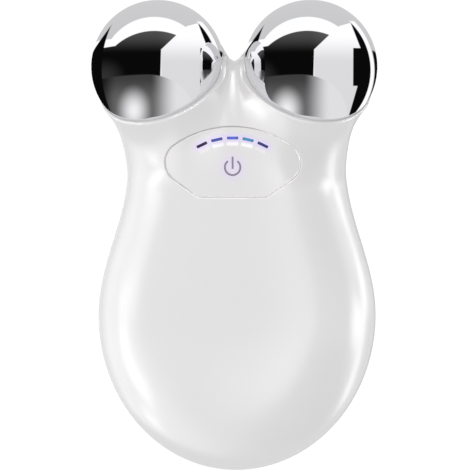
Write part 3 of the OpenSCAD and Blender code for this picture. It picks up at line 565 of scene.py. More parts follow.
class ShellEdges:
    """Where the edges of half a shell go, from their places on the skin."""

    def __init__(self, outline, up, settings):
        self.outline = outline
        self.up = up
        self.seam_edge = settings.seam_edge
        self.rim_edge = settings.rim_edge
        self.opening_edge = settings.opening_edge

    def flags(self, points):
        """What kinds of edge each boundary point belongs to."""
        above = points[:, 2] - seam_height(points[:, 1]) - self.up * self.seam_edge
        rim = np.abs(past_rim(points, self.rim_edge)) < ON_SKIN
        seam = np.abs(above) < NEAR_EDGE
        socket = ~rim & ~seam & (points[:, 1] < NEAR_SOCKET_Y)
        opening = ~(rim | seam | socket)
        kind = seam * SEAM_EDGE + rim * RIM_EDGE
        return kind + opening * OPENING_EDGE + socket * SOCKET_EDGE

    def rounded(self, points, angle):
        """The edge's points at one angle of its round profile, from 0 on the skin to a right angle."""
        return self.moved(points, math.sin(angle), 1 - math.cos(angle), 0)

    def moved(self, points, outwards, inwards, deeper):
        """Points moved out of the sheet's edge and into the wall by shares of the radius, then deeper."""
        kind = self.flags(points)
        result = points.copy()
        seam, rim = kind & SEAM_EDGE > 0, kind & RIM_EDGE > 0
        opening, socket = kind & OPENING_EDGE > 0, kind & SOCKET_EDGE > 0
        self.move_seam(points, seam, result, outwards * self.seam_edge, inwards * self.seam_edge + deeper)
        self.move_rim(points, rim, result, outwards, inwards)
        out, into = outwards * self.opening_edge, inwards * self.opening_edge + deeper
        self.move_opening(points, opening, result, out, into)
        self.move_socket(points, socket, result, out, into)
        return result

    def move_seam(self, points, chosen, result, outwards, inwards):
        """Sets the chosen points of the result round the seam's edge."""
        normal = skin_normal(points[chosen])[:, :2]
        normal /= np.linalg.norm(normal, axis=-1, keepdims=True)
        flat = points[chosen, :2] - inwards * normal
        result[chosen, :2] = flat
        result[chosen, 2] = seam_height(flat[:, 1]) + self.up * (self.seam_edge - outwards)

    def move_rim(self, points, chosen, result, outwards, inwards):
        """Sets the chosen points round a rim's edge, by shares of its radius or of the narrow land."""
        away = self.rim_edge * past_rim_direction(points[chosen], self.rim_edge)
        start = result[chosen]
        wall = self.beside_ball(points[chosen], start, 0) - start - away
        width = np.linalg.norm(wall, axis=-1, keepdims=True)
        width_share = np.minimum(self.rim_edge, ROUND_SHARE * width) / width
        result[chosen] = start + outwards * away + inwards * width_share * wall

    def beside_ball(self, points, near, margin):
        """The places nearest to some points where the rim meets the ball."""
        offset = near - BALL_CENTRE
        radial = offset - np.outer(offset @ BALL_AXIS, BALL_AXIS)
        radial /= np.linalg.norm(radial, axis=-1, keepdims=True)
        flat = radial * math.sqrt(SEAT_RADIUS**2 - RIM_DEPTH**2) - RIM_DEPTH * BALL_AXIS
        straight = offset / np.linalg.norm(offset, axis=-1, keepdims=True) * SEAT_RADIUS
        aim = flat + on_web(points, self.rim_edge) * (straight - flat)
        return BALL_CENTRE + aim / np.linalg.norm(aim, axis=-1, keepdims=True) * (SEAT_RADIUS + margin)

    def move_opening(self, points, chosen, result, outwards, inwards):
        """Sets the chosen points round the edge of the plate's opening."""
        result[chosen, :2] -= outwards * self.facing(points[chosen])
        result[chosen, 2] -= self.up * inwards

    def move_socket(self, points, chosen, result, outwards, inwards):
        """Sets the chosen points round the edge of the charging opening."""
        facing = socket_facing(points[chosen])
        result[chosen, 0] -= outwards * facing[:, 0]
        result[chosen, 2] -= outwards * facing[:, 1]
        result[chosen, 1] += inwards

    def facing(self, points):
        """Directions in which the opening's outline faces at the points nearest to it."""
        outline, facing = self.outline
        across = points[:, None, :2] - outline[None]
        nearest = (across**2).sum(-1).argmin(1)
        side = points[:, :2] - outline[nearest]
        reach = np.linalg.norm(side, axis=-1, keepdims=True)
        return np.where(reach > SAME_PLACE, side / np.maximum(reach, SAME_PLACE), facing[nearest])

    def land(self, points):
        """The flat of a rim, just before it turns down beside the ball. Other edges go into the wall."""
        return self.on_seat_rim(points, self.moved(points, 1, 0, WALL / 2), RIM_LAND)

    def inner(self, points):
        """The inner face's edge."""
        result = self.moved(points, 1, 0, WALL)
        kind = self.flags(points)
        socket = kind & SOCKET_EDGE > 0
        result[socket, 1] = SOCKET_MOUTH_Y - NEAR_EDGE
        seam = kind == SEAM_EDGE
        result[seam] = out_of_seat(result[seam])
        result[seam, 2] = seam_height(result[seam, 1])
        return self.on_seat_rim(points, result, 0)

    def on_seat_rim(self, points, result, margin):
        """The result with the rim's points set beside the ball."""
        rim = self.flags(points) & RIM_EDGE > 0
        result[rim] = self.beside_ball(points[rim], result[rim], margin)
        return result


def out_of_seat(points):
    """Points pushed out of the room that the right ball takes, and kept on the right of the middle."""
    offset = points - BALL_CENTRE
    reach = np.linalg.norm(offset, axis=-1, keepdims=True)
    pushed = BALL_CENTRE + offset / reach * np.maximum(reach, SEAT_RADIUS)
    pushed[:, 0] = np.where(points[:, 0] < SAME_PLACE, 0, np.maximum(pushed[:, 0], 0))
    return pushed


def socket_facing(points):
    """Directions in which the charging opening's outline faces, across and upright."""
    across = np.maximum(points[:, 0] - SOCKET_STRAIGHT, 0)
    facing = np.stack([across, points[:, 2] - SOCKET_Z], -1)
    return facing / np.linalg.norm(facing, axis=-1, keepdims=True)


def cut_socket(mesh, grow):
    """Cuts the right half of the charging opening, grown by grow, out of the sheet."""
    radius = SOCKET_HALF_HEIGHT + grow

    def near(face):
        middle = face.calc_center_median()
        across = abs(middle.x) < SOCKET_HALF_WIDTH + 4 * radius
        return across and abs(middle.z - SOCKET_Z) < 3 * radius and middle.y < NEAR_SOCKET_Y

    for i in range(SOCKET_FACETS + 1):
        angle = math.pi * i / SOCKET_FACETS
        facing = Vector((math.sin(angle), 0, math.cos(angle)))
        place = Vector((SOCKET_STRAIGHT, 0, SOCKET_Z)) + radius * facing
        faces = [f for f in mesh.faces if near(f)]
        edges = list({e for f in faces for e in f.edges})
        verts = list({v for f in faces for v in f.verts})
        bmesh.ops.bisect_plane(mesh, geom=verts + edges + faces, dist=0, plane_co=place, plane_no=facing)

    def within(face):
        middle = face.calc_center_median()
        across = max(middle.x - SOCKET_STRAIGHT, 0)
        return math.hypot(across, middle.z - SOCKET_Z) < radius

    inside = [f for f in mesh.faces if near(f) and within(f)]
    bmesh.ops.delete(mesh, geom=inside, context="FACES")


def build_shell(outline, up, settings, with_socket=False):
    """Mesh of one shell: the skin, its rounded edges and the inner face."""
    mesh = bmesh.new()
    grid_sheet(mesh, skin_rings(outline, up, settings))
    if with_socket:
        cut_socket(mesh, settings.opening_edge)
    cut_rim(mesh, settings.rim_edge)
    edges = ShellEdges(outline, up, settings)
    rest = mesh.verts.layers.float_vector.new("rest")
    for vert in mesh.verts:
        vert[rest] = vert.co
    boundary = [
        e for e in mesh.edges
        if len(e.link_faces) == 1 and max(abs(v.co.x) for v in e.verts) > SAME_PLACE
    ]
    mesh.verts.index_update()
    listed = sorted({v.index for e in boundary for v in e.verts})
    points = coordinates(mesh.verts)
    inner = out_of_seat(points - WALL * skin_normal(points))
    inner[listed] = edges.inner(points[listed])
    sheet = mesh.verts[:]
    copies = bmesh.ops.duplicate(mesh, geom=everything(mesh))["vert_map"]
    place_verts([copies[v] for v in sheet], inner)

    def resting(verts):
        return np.array([v[rest] for v in verts], float).reshape(-1, 3)

    for angle in ROUND_ANGLES:
        boundary = grow_edge(mesh, boundary, lambda verts: edges.rounded(resting(verts), angle))
    boundary = grow_edge(mesh, boundary, lambda verts: edges.land(resting(verts)))
    grow_edge(mesh, boundary, lambda verts: edges.inner(resting(verts)))
    bmesh.ops.remove_doubles(mesh, verts=mesh.verts[:], dist=SAME_PLACE)
    bmesh.ops.mirror(
        mesh, geom=everything(mesh), matrix=Matrix.Identity(4), merge_dist=SAME_PLACE, axis="X")
    close_and_face_out(mesh)
    return mesh


def build_plate(outline, up, thickness, edge, recess, steps, ledge):
    """Mesh of a plate that lies in the skin, with a rounded edge and a ledge that closes its groove.

    The ledge is a width and a depth, and steps are the faces round half the plate and from its middle out.
    """
    around, along = steps
    ledge_width, ledge_depth = ledge
    half, facing = even_outline(outline, around)
    half = half - edge * facing
    left = half[-2:0:-1] * [-1, 1]
    ring = np.concatenate([half, left, half[:1]])
    facing = np.concatenate([facing, facing[-2:0:-1] * [-1, 1], facing[:1]])
    middle = np.array([0, (ring[:, 1].max() + ring[:, 1].min()) / 2])
    share = np.linspace(0, 1, along + 1)[:, None, None]
    flat = middle + share * (ring - middle)
    height = face_height(flat[..., 0], flat[..., 1], up) - up * recess
    top = np.concatenate([flat, height[..., None]], -1)
    rim = top[-1]
    rows = [top]
    for angle in ROUND_ANGLES:
        moved = rim.copy()
        moved[:, :2] += edge * math.sin(angle) * facing
        moved[:, 2] -= up * edge * (1 - math.cos(angle))
        rows.append(moved[None])
    side = rows[-1][0]
    corners = (0, ledge_depth), (ledge_width, ledge_depth), (ledge_width, thickness), (0, thickness)
    for out, depth in corners:
        lower = side.copy()
        lower[:, :2] += out * facing
        lower[:, 2] = rim[:, 2] - up * depth
        rows.append(lower[None])
    bottom = top[::-1].copy()
    bottom[..., 2] -= up * thickness
    rows.append(bottom)
    points = np.concatenate(rows)
    mesh = bmesh.new()
    # Marks the ledge rows, on which the key's material paints the groove's highlight
    groove = mesh.verts.layers.float.new("groove")
    ledge_row = len(top) + EDGE_STEPS
    for vert, row in grid_sheet(mesh, points):
        vert[groove] = row in (ledge_row, ledge_row + 1)
    close_and_face_out(mesh)
    return mesh


# ---- Node trees ------------------------------------------------------------------------

class Signal:
    """A socket's output that takes part in sums."""

    def __init__(self, tree, socket):
        self.tree = tree
        self.socket = socket

    def math(self, operation, *others):
        return self.tree.add("ShaderNodeMath", dict(enumerate((self, *others))), operation=operation)

    def swapped(self, operation, other):
        return self.tree.add("ShaderNodeMath", {0: other, 1: self}, operation=operation)

    def __add__(self, other):
        return self.math("ADD", other)

    __radd__ = __add__

    def __sub__(self, other):
        return self.math("SUBTRACT", other)

    def __rsub__(self, other):
        return self.swapped("SUBTRACT", other)

    def __mul__(self, other):
        return self.math("MULTIPLY", other)

    __rmul__ = __mul__

    def __truediv__(self, other):
        return self.math("DIVIDE", other)

    def __pow__(self, other):
        return self.math("POWER", other)

    def towards(self, other, share):
        """This value where share is 0 and the other value where it is 1."""
        return self + (other - self) * share

    def least(self, other):
        return self.math("MINIMUM", other)

    def most(self, other):
        return self.math("MAXIMUM", other)

    def size(self):
        return self.math("ABSOLUTE")

    def rise(self, edge, soft):
        """0 below the edge and 1 above it, with a smooth step of that width."""
        inputs = {"Value": self, "From Min": edge - soft / 2, "From Max": edge + soft / 2}
        return self.tree.add("ShaderNodeMapRange", inputs, interpolation_type="SMOOTHSTEP")

    def fall(self, edge, soft):
        """1 below the edge and 0 above it."""
        return 1 - self.rise(edge, soft)

    def between(self, low, high, soft=CARD_EDGE):
        """1 between two edges and 0 beyond them."""
        return self.rise(low, soft) * self.fall(high, soft)


class Tree:
    """A node tree that is written as expressions."""

    def __init__(self, owner):
        owner.use_nodes = True
        self.nodes = owner.node_tree.nodes
        self.links = owner.node_tree.links
        self.nodes.clear()

    def add(self, kind, inputs=(), output=0, **settings):
        """One output of a new node, given the values or links of its sockets and its settings."""
        node = self.nodes.new(kind)
        for name, value in settings.items():
            setattr(node, name, value)
        for key, value in dict(inputs).items():
            if isinstance(value, Signal):
                self.links.new(value.socket, node.inputs[key])
            else:
                node.inputs[key].default_value = value
        return Signal(self, node.outputs[output]) if len(node.outputs) else None

    def outputs(self, kind, *names):
        """Several outputs of one node."""
        made = self.add(kind).socket.node.outputs
        return [Signal(self, made[name]) for name in names]

    def mix(self, share, first, second):
        """Colour between two colours."""
        return self.add("ShaderNodeMix", {0: share, 6: first, 7: second}, output=2, data_type="RGBA")

    def shades(self, share, colour, first, second):
        """Colour between two shades of one colour."""
        return self.mix(share, solid(colour, first), solid(colour, second))

    def noise(self, place, scale, detail=2, roughness=0.5):
        """Soft random values, scale being their number in a metre."""
        inputs = {"Vector": place, "Scale": scale, "Detail": detail, "Roughness": roughness}
        return self.add("ShaderNodeTexNoise", inputs)

    def bump(self, height, strength, distance):
        """Normals of a surface that is raised by a height."""
        return self.add("ShaderNodeBump", {"Height": height, "Strength": strength, "Distance": distance})

    def place(self):
        """Place on the object, in its own frame."""
        return self.add("ShaderNodeTexCoord", output=3)

    def stored(self, name):
        """Value that a mesh stores on its vertices."""
        return self.add("ShaderNodeAttribute", output=2, attribute_name=name)

    def axes(self, vector):
        """The three parts of a vector."""
        split = self.add("ShaderNodeSeparateXYZ", {0: vector})
        return [Signal(self, socket) for socket in split.socket.node.outputs]

    def surface(self, **sockets):
        """A principled surface as the tree's output."""
        named = {name.replace("_", " "): value for name, value in sockets.items()}
        shader = self.add("ShaderNodeBsdfPrincipled", named)
        self.add("ShaderNodeOutputMaterial", {"Surface": shader})


def solid(colour, shade=1.0):
    """A colour with full alpha, made lighter or darker by shade."""
    return (*[min(c * shade, 1) for c in colour[:3]], 1)


def new_material(name):
    """A material and its empty node tree."""
    material = bpy.data.materials.new(name)
    return material, Tree(material)


# ---- Finishes --------------------------------------------------------------------------

def moulded_plastic(name, colour, roughness, depth=RIPPLE_DEPTH, spread=0.03):
    """Moulded plastic: faint ripple of the tool's surface, uneven gloss and a trace of uneven colour."""
    material, tree = new_material(name)
    place = tree.place()
    ripple = tree.noise(place, PLASTIC_RIPPLE)
    fine = tree.noise(place, scale=9000, detail=3)
    cloud = tree.noise(place, scale=35, detail=3)
    tree.surface(
        Base_Color=tree.shades(cloud, colour, 1 - spread, 1 + spread),
        Roughness=roughness + RIPPLE_GLOSS * (ripple - 0.5) + 0.05 * (fine - 0.5),
        Normal=tree.bump(ripple + 0.4 * fine, RIPPLE_STRENGTH, depth),
        IOR=PLASTIC_IOR,
    )
    return material


def chrome(name, colour, roughness):
    """Polished chrome plating with the faintest haze and wipe marks."""
    material, tree = new_material(name)
    place = tree.place()
    haze = tree.noise(place, scale=60, detail=4)
    tree.surface(
        Base_Color=tree.shades(haze, colour, 0.98, 1.02),
        Metallic=1.0,
        Roughness=roughness * haze,
    )
    return material


def brushed_metal(name, colour, roughness):
    """Sheet or turned metal with fine drawn lines."""
    material, tree = new_material(name)
    place = tree.place()
    stretched = tree.add("ShaderNodeMapping", {"Vector": place, "Scale": (1, 1, 30)})
    lines = tree.noise(stretched, scale=900, detail=3)
    stain = tree.noise(place, scale=250, detail=3)
    tree.surface(
        Base_Color=tree.shades(stain, colour, 0.9, 1.05),
        Metallic=1.0,
        Roughness=roughness + 0.15 * (lines - 0.5),
        Normal=tree.bump(lines, strength=0.15, distance=0.01 * MM),
    )
    return material


def grainy(name, colour, roughness, scale, depth, spread):
    """Matte material with a grain: rubber, foam, insulation or moulded resin."""
    material, tree = new_material(name)
    place = tree.place()
    grain = tree.noise(place, scale, detail=4, roughness=0.6)
    cloud = tree.noise(place, scale / 12)
    tree.surface(
        Base_Color=tree.shades(cloud, colour, 1 - spread, 1 + spread),
        Roughness=roughness + 0.12 * (grain - 0.5),
        Normal=tree.bump(grain, strength=0.5, distance=depth),
    )
    return material


def circuit_board(name, colour):
    """Green solder mask with tracks that show through and tinned pads."""
    material, tree = new_material(name)
    place = tree.place()
    cells = tree.add(
        "ShaderNodeTexVoronoi", {"Vector": place, "Scale": 420.0, "Randomness": 0.7},
        feature="DISTANCE_TO_EDGE", distance="MANHATTAN")
    track = cells.fall(0.08, 0.04)
    dots = tree.add("ShaderNodeTexVoronoi", {"Vector": place, "Scale": 380.0, "Randomness": 0.9})
    pad = dots.fall(0.14, 0.03)
    mask_colour = tree.shades(track, colour, 1, 1.7)
    tree.surface(
        Base_Color=tree.mix(pad, mask_colour, PAD_COLOUR),
        Metallic=pad,
        Roughness=0.35 - 0.1 * pad,
        Normal=tree.bump(track.most(pad), strength=0.4, distance=0.02 * MM),
    )
    return material


def pouch_foil(name, colour):
    """Laminated pouch of a battery: soft creases in a dull silver film."""
    material, tree = new_material(name)
    place = tree.place()
    crease = tree.add(
        "ShaderNodeTexVoronoi", {"Vector": place, "Scale": 160.0}, feature="DISTANCE_TO_EDGE")
    tree.surface(
        Base_Color=tree.shades(tree.noise(place, scale=80), colour, 0.9, 1.1),
        Metallic=0.85,
        Roughness=0.38 + 0.1 * tree.noise(place, scale=500, detail=3),
        Normal=tree.bump(crease.least(0.3), strength=0.35, distance=0.08 * MM),
    )
    return material


def inner_finish(slot, colour, kind):
    """Material of a piece inside the casing, by its slot in the record."""
    if slot == "circuit_board":
        return circuit_board(slot, colour)
    if slot == "battery":
        return pouch_foil(slot, colour)
    if slot.endswith("lead"):
        return grainy(slot, colour, roughness=0.42, scale=2500, depth=0.01 * MM, spread=0.08)
    if slot in ("foam", "seal"):
        return grainy(slot, colour, roughness=0.75, scale=1800, depth=0.06 * MM, spread=0.15)
    if kind in ("brushed_steel", "aluminium", "brass"):
        return brushed_metal(slot, colour, roughness=0.3)
    if slot in ("chip", "coil"):
        return grainy(slot, colour, roughness=0.6, scale=4000, depth=0.02 * MM, spread=0.12)
    return moulded_plastic(slot, colour, roughness=0.4, depth=0.01 * MM, spread=0.06)


def light_turn(number):
    """Angle of one light on its arc, clockwise from the middle one."""
    return (number - LIGHT_COUNT // 2) * LIGHT_PITCH


def along_light(number, x, y):
    """Distance of a place from the middle of one light, along it."""
    turn = light_turn(number)
    return x * math.cos(turn) - (y - LIGHT_ARC_Y) * math.sin(turn)


def out_to_light(number, x, y):
    """Distance of a place from the middle of the lights' arc, in the direction of one light."""
    turn = light_turn(number)
    return x * math.sin(turn) + (y - LIGHT_ARC_Y) * math.cos(turn)


def key_finish(settings):
    """White key plate with the soft glow that the lights throw on it, partly painted into its colour, and a
    painted highlight in its groove.
    """
    material, tree = new_material("key")
    place = tree.place()
    x, y, z = tree.axes(place)
    ripple = tree.noise(place, PLASTIC_RIPPLE)
    front = z.rise(FRONT_Z - 2 * MM, 0.5 * MM)
    # Strip of glow below each light and a halo round it
    glow = 0
    halo = 0
    strip_radius = LIGHT_ARC_RADIUS - settings.strip_drop
    for number, strength in enumerate(settings.strip_strengths):
        along = along_light(number, x, y)
        out = out_to_light(number, x, y)
        strip = along.size().fall(LIGHT_LENGTH / 2, GLOW_SOFTNESS)
        strip = strip * (out - strip_radius).size().fall(settings.strip_width / 2, GLOW_SOFTNESS)
        glow = strip * strength + glow
        ring = (along / HALO_HALF_LENGTH) ** 2 + ((out - LIGHT_ARC_RADIUS) / HALO_HALF_WIDTH) ** 2
        halo = ring.fall(1, 1.6) + halo
    from_symbol = (x**2 + (y - SYMBOL_Y) ** 2) ** 0.5
    halo = (halo + SYMBOL_HALO * from_symbol.fall(SYMBOL_HALO_RADIUS, SYMBOL_HALO_SOFTNESS)).least(1)
    # Painted glow: the plate's base colour turns lavender in the halo round the lights and the symbol, as
    # if lit by them
    colour_with_painted_halo = tree.mix(halo * front, solid(settings.colour), solid(settings.painted_halo_colour))
    light = tree.mix(halo, BLACK, solid(settings.halo_light))
    light = tree.mix(glow.least(1), light, solid(settings.strip_colour))
    # Painted highlight along the groove's lower right, where its edge would catch the lamp's light from the
    # upper left, given as light from the ledge
    lower_right = 0.65 * x - 0.75 * (y - KEY_SIDE_Y)
    groove_highlight_mask = tree.stored("groove") * lower_right.rise(-1.5 * MM, 6 * MM)
    light = tree.mix(groove_highlight_mask, light, (*[settings.painted_groove_highlight] * 3, 1))
    tree.surface(
        Base_Color=colour_with_painted_halo,
        Roughness=settings.roughness + RIPPLE_GLOSS * (ripple - 0.5),
        Normal=tree.bump(ripple, RIPPLE_STRENGTH, RIPPLE_DEPTH),
        IOR=PLASTIC_IOR,
        Emission_Color=tree.mix(front, BLACK, light),
        Emission_Strength=settings.strip_glow,
    )
    return material


def light_finish(number, colour, glow):
    """Tinted window of one light, darker towards its ends."""
    material, tree = new_material(f"light_{number}")
    place = tree.place()
    x, y, _ = tree.axes(place)
    end = (along_light(number, x, y).size() / (LIGHT_LENGTH / 2)).rise(0.8, 0.5)
    grain = tree.noise(place, scale=1500, detail=3)
    tree.surface(
        Base_Color=tree.shades(end, colour, 1, 0.55),
        Roughness=INLAY_ROUGHNESS + 0.05 * grain,
        Specular_IOR_Level=INLAY_SHINE,
        Emission_Color=tree.shades(end, colour, 1, 0.4),
        Emission_Strength=glow,
    )
    return material


def symbol_finish(colour):
    """Translucent inlay of the power symbol."""
    material, tree = new_material("power_symbol")
    grain = tree.noise(tree.place(), scale=1500, detail=3)
    tree.surface(
        Base_Color=tree.shades(grain, colour, 0.92, 1.08),
        Roughness=INLAY_ROUGHNESS + 0.05 * grain,
        Specular_IOR_Level=INLAY_SHINE,
    )
    return material


# ---- Settings --------------------------------------------------------------------------

def a_length(name, description, default, precision=5):
    """A length that a user can change."""
    return FloatProperty(
        name=name, description=description, default=default, unit="LENGTH", precision=precision)


def an_angle(name, description, default):
    """An angle that a user can change, given in degrees."""
    return FloatProperty(
        name=name, description=description, default=math.radians(default), subtype="ANGLE")


def an_amount(name, description, default):
    """A plain number that a user can change."""
    return FloatProperty(name=name, description=description, default=default)


def a_count(name, description, default):
    """A number of faces that a user can change."""
    return IntProperty(name=name, description=description, default=default)


def a_colour(name, description, *default):
    """A colour that a user can change."""
    return FloatVectorProperty(name=name, description=description, default=default, subtype="COLOR")


def a_place(name, description, *default):
    """A place that a user can change."""
    return FloatVectorProperty(
        name=name, description=description, default=default, subtype="TRANSLATION", precision=5)


def a_row(name, description, *default):
    """A row of plain numbers that a user can change."""
    return FloatVectorProperty(name=name, description=description, default=default, size=len(default))


class CasingSettings(bpy.types.PropertyGroup):
    """Edges, mesh and finish of the casing."""

    opening_edge: a_length("Opening edge", "Radius of the rounded edges of the openings", 0.42 * MM)
    rim_edge: a_length("Rim edge", "Radius of the rounded rims round the balls", 0.6 * MM)
    seam_edge: a_length("Seam edge", "Radius of the rounded edges where the two shells meet", 0.05 * MM)
    steps_around: a_count("Steps around", "Faces round half a shell", 150)
    steps_along: a_count("Steps along", "Faces from an opening to the seam", 76)
    colour: a_colour("Colour", "Colour of the plastic", 0.86, 0.848, 0.852)
    plate_colour: a_colour("Back plate colour", "Colour of the back plate", 0.82, 0.82, 0.83)
    roughness: an_amount("Roughness", "Roughness of the plastic", 0.2)
    plate_roughness: an_amount("Back plate roughness", "Roughness of the back plate", 0.45)


class ElectrodeSettings(bpy.types.PropertyGroup):
    """Mesh and finish of the two balls."""

    segments: a_count("Segments", "Faces round a ball", 160)
    colour: a_colour("Colour", "Colour of the plating", 0.925, 0.925, 0.945)
    roughness: an_amount("Roughness", "Highest roughness of the plating", 0.003)


class KeySettings(bpy.types.PropertyGroup):
    """Finish of the key plate, its lights and its symbol."""

    edge_radius: a_length("Edge radius", "Radius of the plate's rounded edge", 0.04 * MM)
    recess: a_length("Recess", "Depth of the plate below the skin round it", 0.13 * MM)
    colour: a_colour("Colour", "Colour of the plate", 0.86, 0.848, 0.852)
    roughness: an_amount("Roughness", "Roughness of the plate", 0.2)
    groove_depth: a_length("Groove depth", "Depth of the groove round the plate", 0.04 * MM)
    # Painted highlight: light given by the groove's ledge on the lower right, standing in for the edge
    # catching the lamp
    painted_groove_highlight: an_amount("Groove light", "Strength of the light in the groove's lower right", 1.2)
    symbol_colour: a_colour("Symbol colour", "Colour of the power symbol", 0.3, 0.26, 0.34)
    symbol_radius: a_length("Symbol radius", "Radius of the power symbol's ring", 1.9 * MM)
    symbol_stroke: a_length("Symbol stroke", "Width of the power symbol's stroke", 0.54 * MM)
    strip_drop: a_length("Strip drop", "Distance of each glow strip below its light", 1.4 * MM)
    strip_width: a_length("Strip width", "Width of each glow strip", 0.9 * MM)
    strip_strengths: a_row("Strip strengths", "Strength of each glow strip", 0.2, 0.62, 0.75, 0.8, 0.2)
    strip_colour: a_colour("Strip colour", "Colour of the glow strips", 0.9, 0.95, 1)
    strip_glow: an_amount("Strip glow", "Strength of the light that the plate gives", 0.3)
    # Lavender painted into the plate's base colour where the lights' glow falls on it
    painted_halo_colour: a_colour("Halo colour", "Tint of the plate round the lights", 0.83, 0.765, 0.87)
    halo_light: a_colour("Halo light", "Light that the plate gives round the lights", 0.06, 0.04, 0.34)
    light_colours: a_row(
        "Light colours", "Colours of the five lights from left to right",
        0.018, 0.01, 0.045,
        0.055, 0.075, 0.3,
        0.08, 0.12, 0.5,
        0.06, 0.22, 0.42,
        0.03, 0.033, 0.15)
    light_glow: an_amount("Light glow", "Strength of the light that the windows give", 0.35)


class StudioSettings(bpy.types.PropertyGroup):
    """Camera, floor and light."""

    floor_size: a_length("Floor size", "Width of the floor", 30)
    camera_distance: a_length("Camera distance", "Distance of the camera from the device", 4)
    view_height: a_length("View height", "Height of what the camera sees at the device", 115.75 * MM)
    view_lean: an_angle("View lean", "Turn of the camera to the right of upright", 3.6)
    view_place: a_place("View place", "Place that the camera looks at", -0.38 * MM, 0, 20 * MM)
    room_light: an_amount("Room light", "Strength of the even light", 0.75)
    lamp_power: an_amount("Lamp power", "Power of the soft lamp in watts", 2.2)
    lamp_size: a_length("Lamp size", "Width of the soft lamp", 1.2)
    lamp_place: a_place("Lamp place", "Place of the soft lamp", -0.7, 0.6, 1.1)


def settings_of(name):
    """One of the scene's groups of settings."""
    return getattr(bpy.context.scene, name)


# ---- Pieces ----------------------------------------------------------------------------

def ball_frame(side):
    """Matrix that sets a piece with its axis along Z on the axis of a ball."""
    turn = Matrix.Rotation(-side * BALL_SPLAY, 4, "Z") @ Matrix.Rotation(BALL_LIFT - math.pi / 2, 4, "X")
    place = Vector(BALL_CENTRE * np.array([side, 1, 1]))
    return Matrix.Translation(place) @ turn


def build_ball(side, settings):
    """Mesh of one ball: a hollow cap, open below its rim, with the post that its screw holds."""
    mesh = bmesh.new()
    bmesh.ops.create_uvsphere(
        mesh, u_segments=settings.segments, v_segments=settings.segments // 2, radius=BALL_RADIUS)
    bmesh.ops.bisect_plane(
        mesh, geom=everything(mesh), dist=SAME_PLACE, plane_co=(0, 0, -BALL_BASE), plane_no=(0, 0, -1),
        clear_outer=True)
    bmesh.ops.recalc_face_normals(mesh, faces=mesh.faces[:])
    outer = set(mesh.verts)
    bmesh.ops.extrude_face_region(mesh, geom=mesh.faces[:], use_keep_orig=True)
    for vert in [v for v in mesh.verts if v not in outer]:
        at_base = vert.co.z < -BALL_BASE + SAME_PLACE
        if at_base:
            vert.co -= Vector((vert.co.x, vert.co.y, 0)).normalized() * BALL_WALL
        else:
            vert.co *= (BALL_RADIUS - BALL_WALL) / BALL_RADIUS
    close_and_face_out(mesh)
    post_top = math.sqrt((BALL_RADIUS - BALL_WALL / 2) ** 2 - POST_RADIUS**2)
    middle = (post_top - POST_BASE) / 2
    bmesh.ops.create_cone(
        mesh, cap_ends=True, segments=POST_SIDES, radius1=POST_RADIUS, radius2=POST_RADIUS,
        depth=post_top + POST_BASE, matrix=Matrix.Translation((0, 0, middle)))
    bmesh.ops.transform(mesh, matrix=ball_frame(side), verts=mesh.verts[:])
    return mesh


def set_in_skin(mesh, thickness, proud):
    """Turns a flat sheet over the front into a solid inlay that follows the skin, thickness deep."""
    points = coordinates(mesh.verts)
    height = face_height(points[:, 0], points[:, 1], 1)
    points[:, 2] = height - settings_of("toner_key").recess + proud
    sheet = mesh.faces[:]
    place_verts(mesh.verts, points)
    bmesh.ops.recalc_face_normals(mesh, faces=sheet)
    top = set(mesh.verts)
    bmesh.ops.extrude_face_region(mesh, geom=sheet, use_keep_orig=True)
    lower = [v for v in mesh.verts if v not in top]
    bmesh.ops.translate(mesh, vec=(0, 0, -thickness), verts=lower)
    close_and_face_out(mesh)
    upper = [e for e in mesh.edges if all(v in top for v in e.verts)]
    rim = [e for e in upper if e.calc_face_angle(0) > SHARP_ANGLE]
    bmesh.ops.bevel(
        mesh, geom=rim, offset=INLAY_EDGE, offset_type="OFFSET", segments=2, profile=0.5, affect="EDGES",
        material=-1)


class TONER_OT_front_shell(bpy.types.Operator):
    """Build the front shell with its key opening and the upper halves of the two cups"""

    bl_idname = "toner.front_shell"
    bl_label = "Front shell"

    def execute(self, context):
        settings = settings_of("toner_casing")
        mesh = build_shell(opening_outline(key_outline(), KEY_GAP), 1, settings)
        material = moulded_plastic("casing_front", settings.colour, settings.roughness)
        nodes = ["front_shell"]
        finish_piece(mesh, "front_casing", "housing", material, nodes, follows_skin=True)
        return {"FINISHED"}


class TONER_OT_rear_shell(bpy.types.Operator):
    """Build the rear shell with its plate opening, charging opening and the lower halves of the cups"""

    bl_idname = "toner.rear_shell"
    bl_label = "Rear shell"

    def execute(self, context):
        settings = settings_of("toner_casing")
        mesh = build_shell(opening_outline(plate_outline(), PLATE_GAP), -1, settings, with_socket=True)
        material = moulded_plastic("casing_rear", settings.colour, settings.roughness)
        nodes = ["rear_shell"]
        finish_piece(mesh, "rear_casing", "housing", material, nodes, follows_skin=True)
        return {"FINISHED"}


class TONER_OT_back_plate(bpy.types.Operator):
    """Build the plate that the device rests on"""

    bl_idname = "toner.back_plate"
    bl_label = "Back plate"

    def execute(self, context):
        settings = settings_of("toner_casing")
        ledge = (PLATE_GAP / 2, PLATE_GROOVE_DEPTH)
        mesh = build_plate(plate_outline(), -1, PLATE_THICKNESS, settings.seam_edge, 0, PLATE_STEPS, ledge)
        roughness = settings.plate_roughness
        material = moulded_plastic("back_plate", settings.plate_colour, roughness, depth=0.03 * MM)
        nodes = ["back_plate"]
        finish_piece(mesh, "rest_plate", "housing", material, nodes, follows_skin=True)
        return {"FINISHED"}


class TONER_OT_electrodes(bpy.types.Operator):
    """Build the two hollow chrome balls"""

    bl_idname = "toner.electrodes"
    bl_label = "Ball electrodes"

    def execute(self, context):
        settings = settings_of("toner_electrodes")
        material = chrome("electrode", settings.colour, settings.roughness)
        for side, name in ((-1, "left"), (1, "right")):
            mesh = build_ball(side, settings)
            finish_piece(mesh, f"{name}_ball", "housing", material, [f"{name}_electrode"])
        return {"FINISHED"}


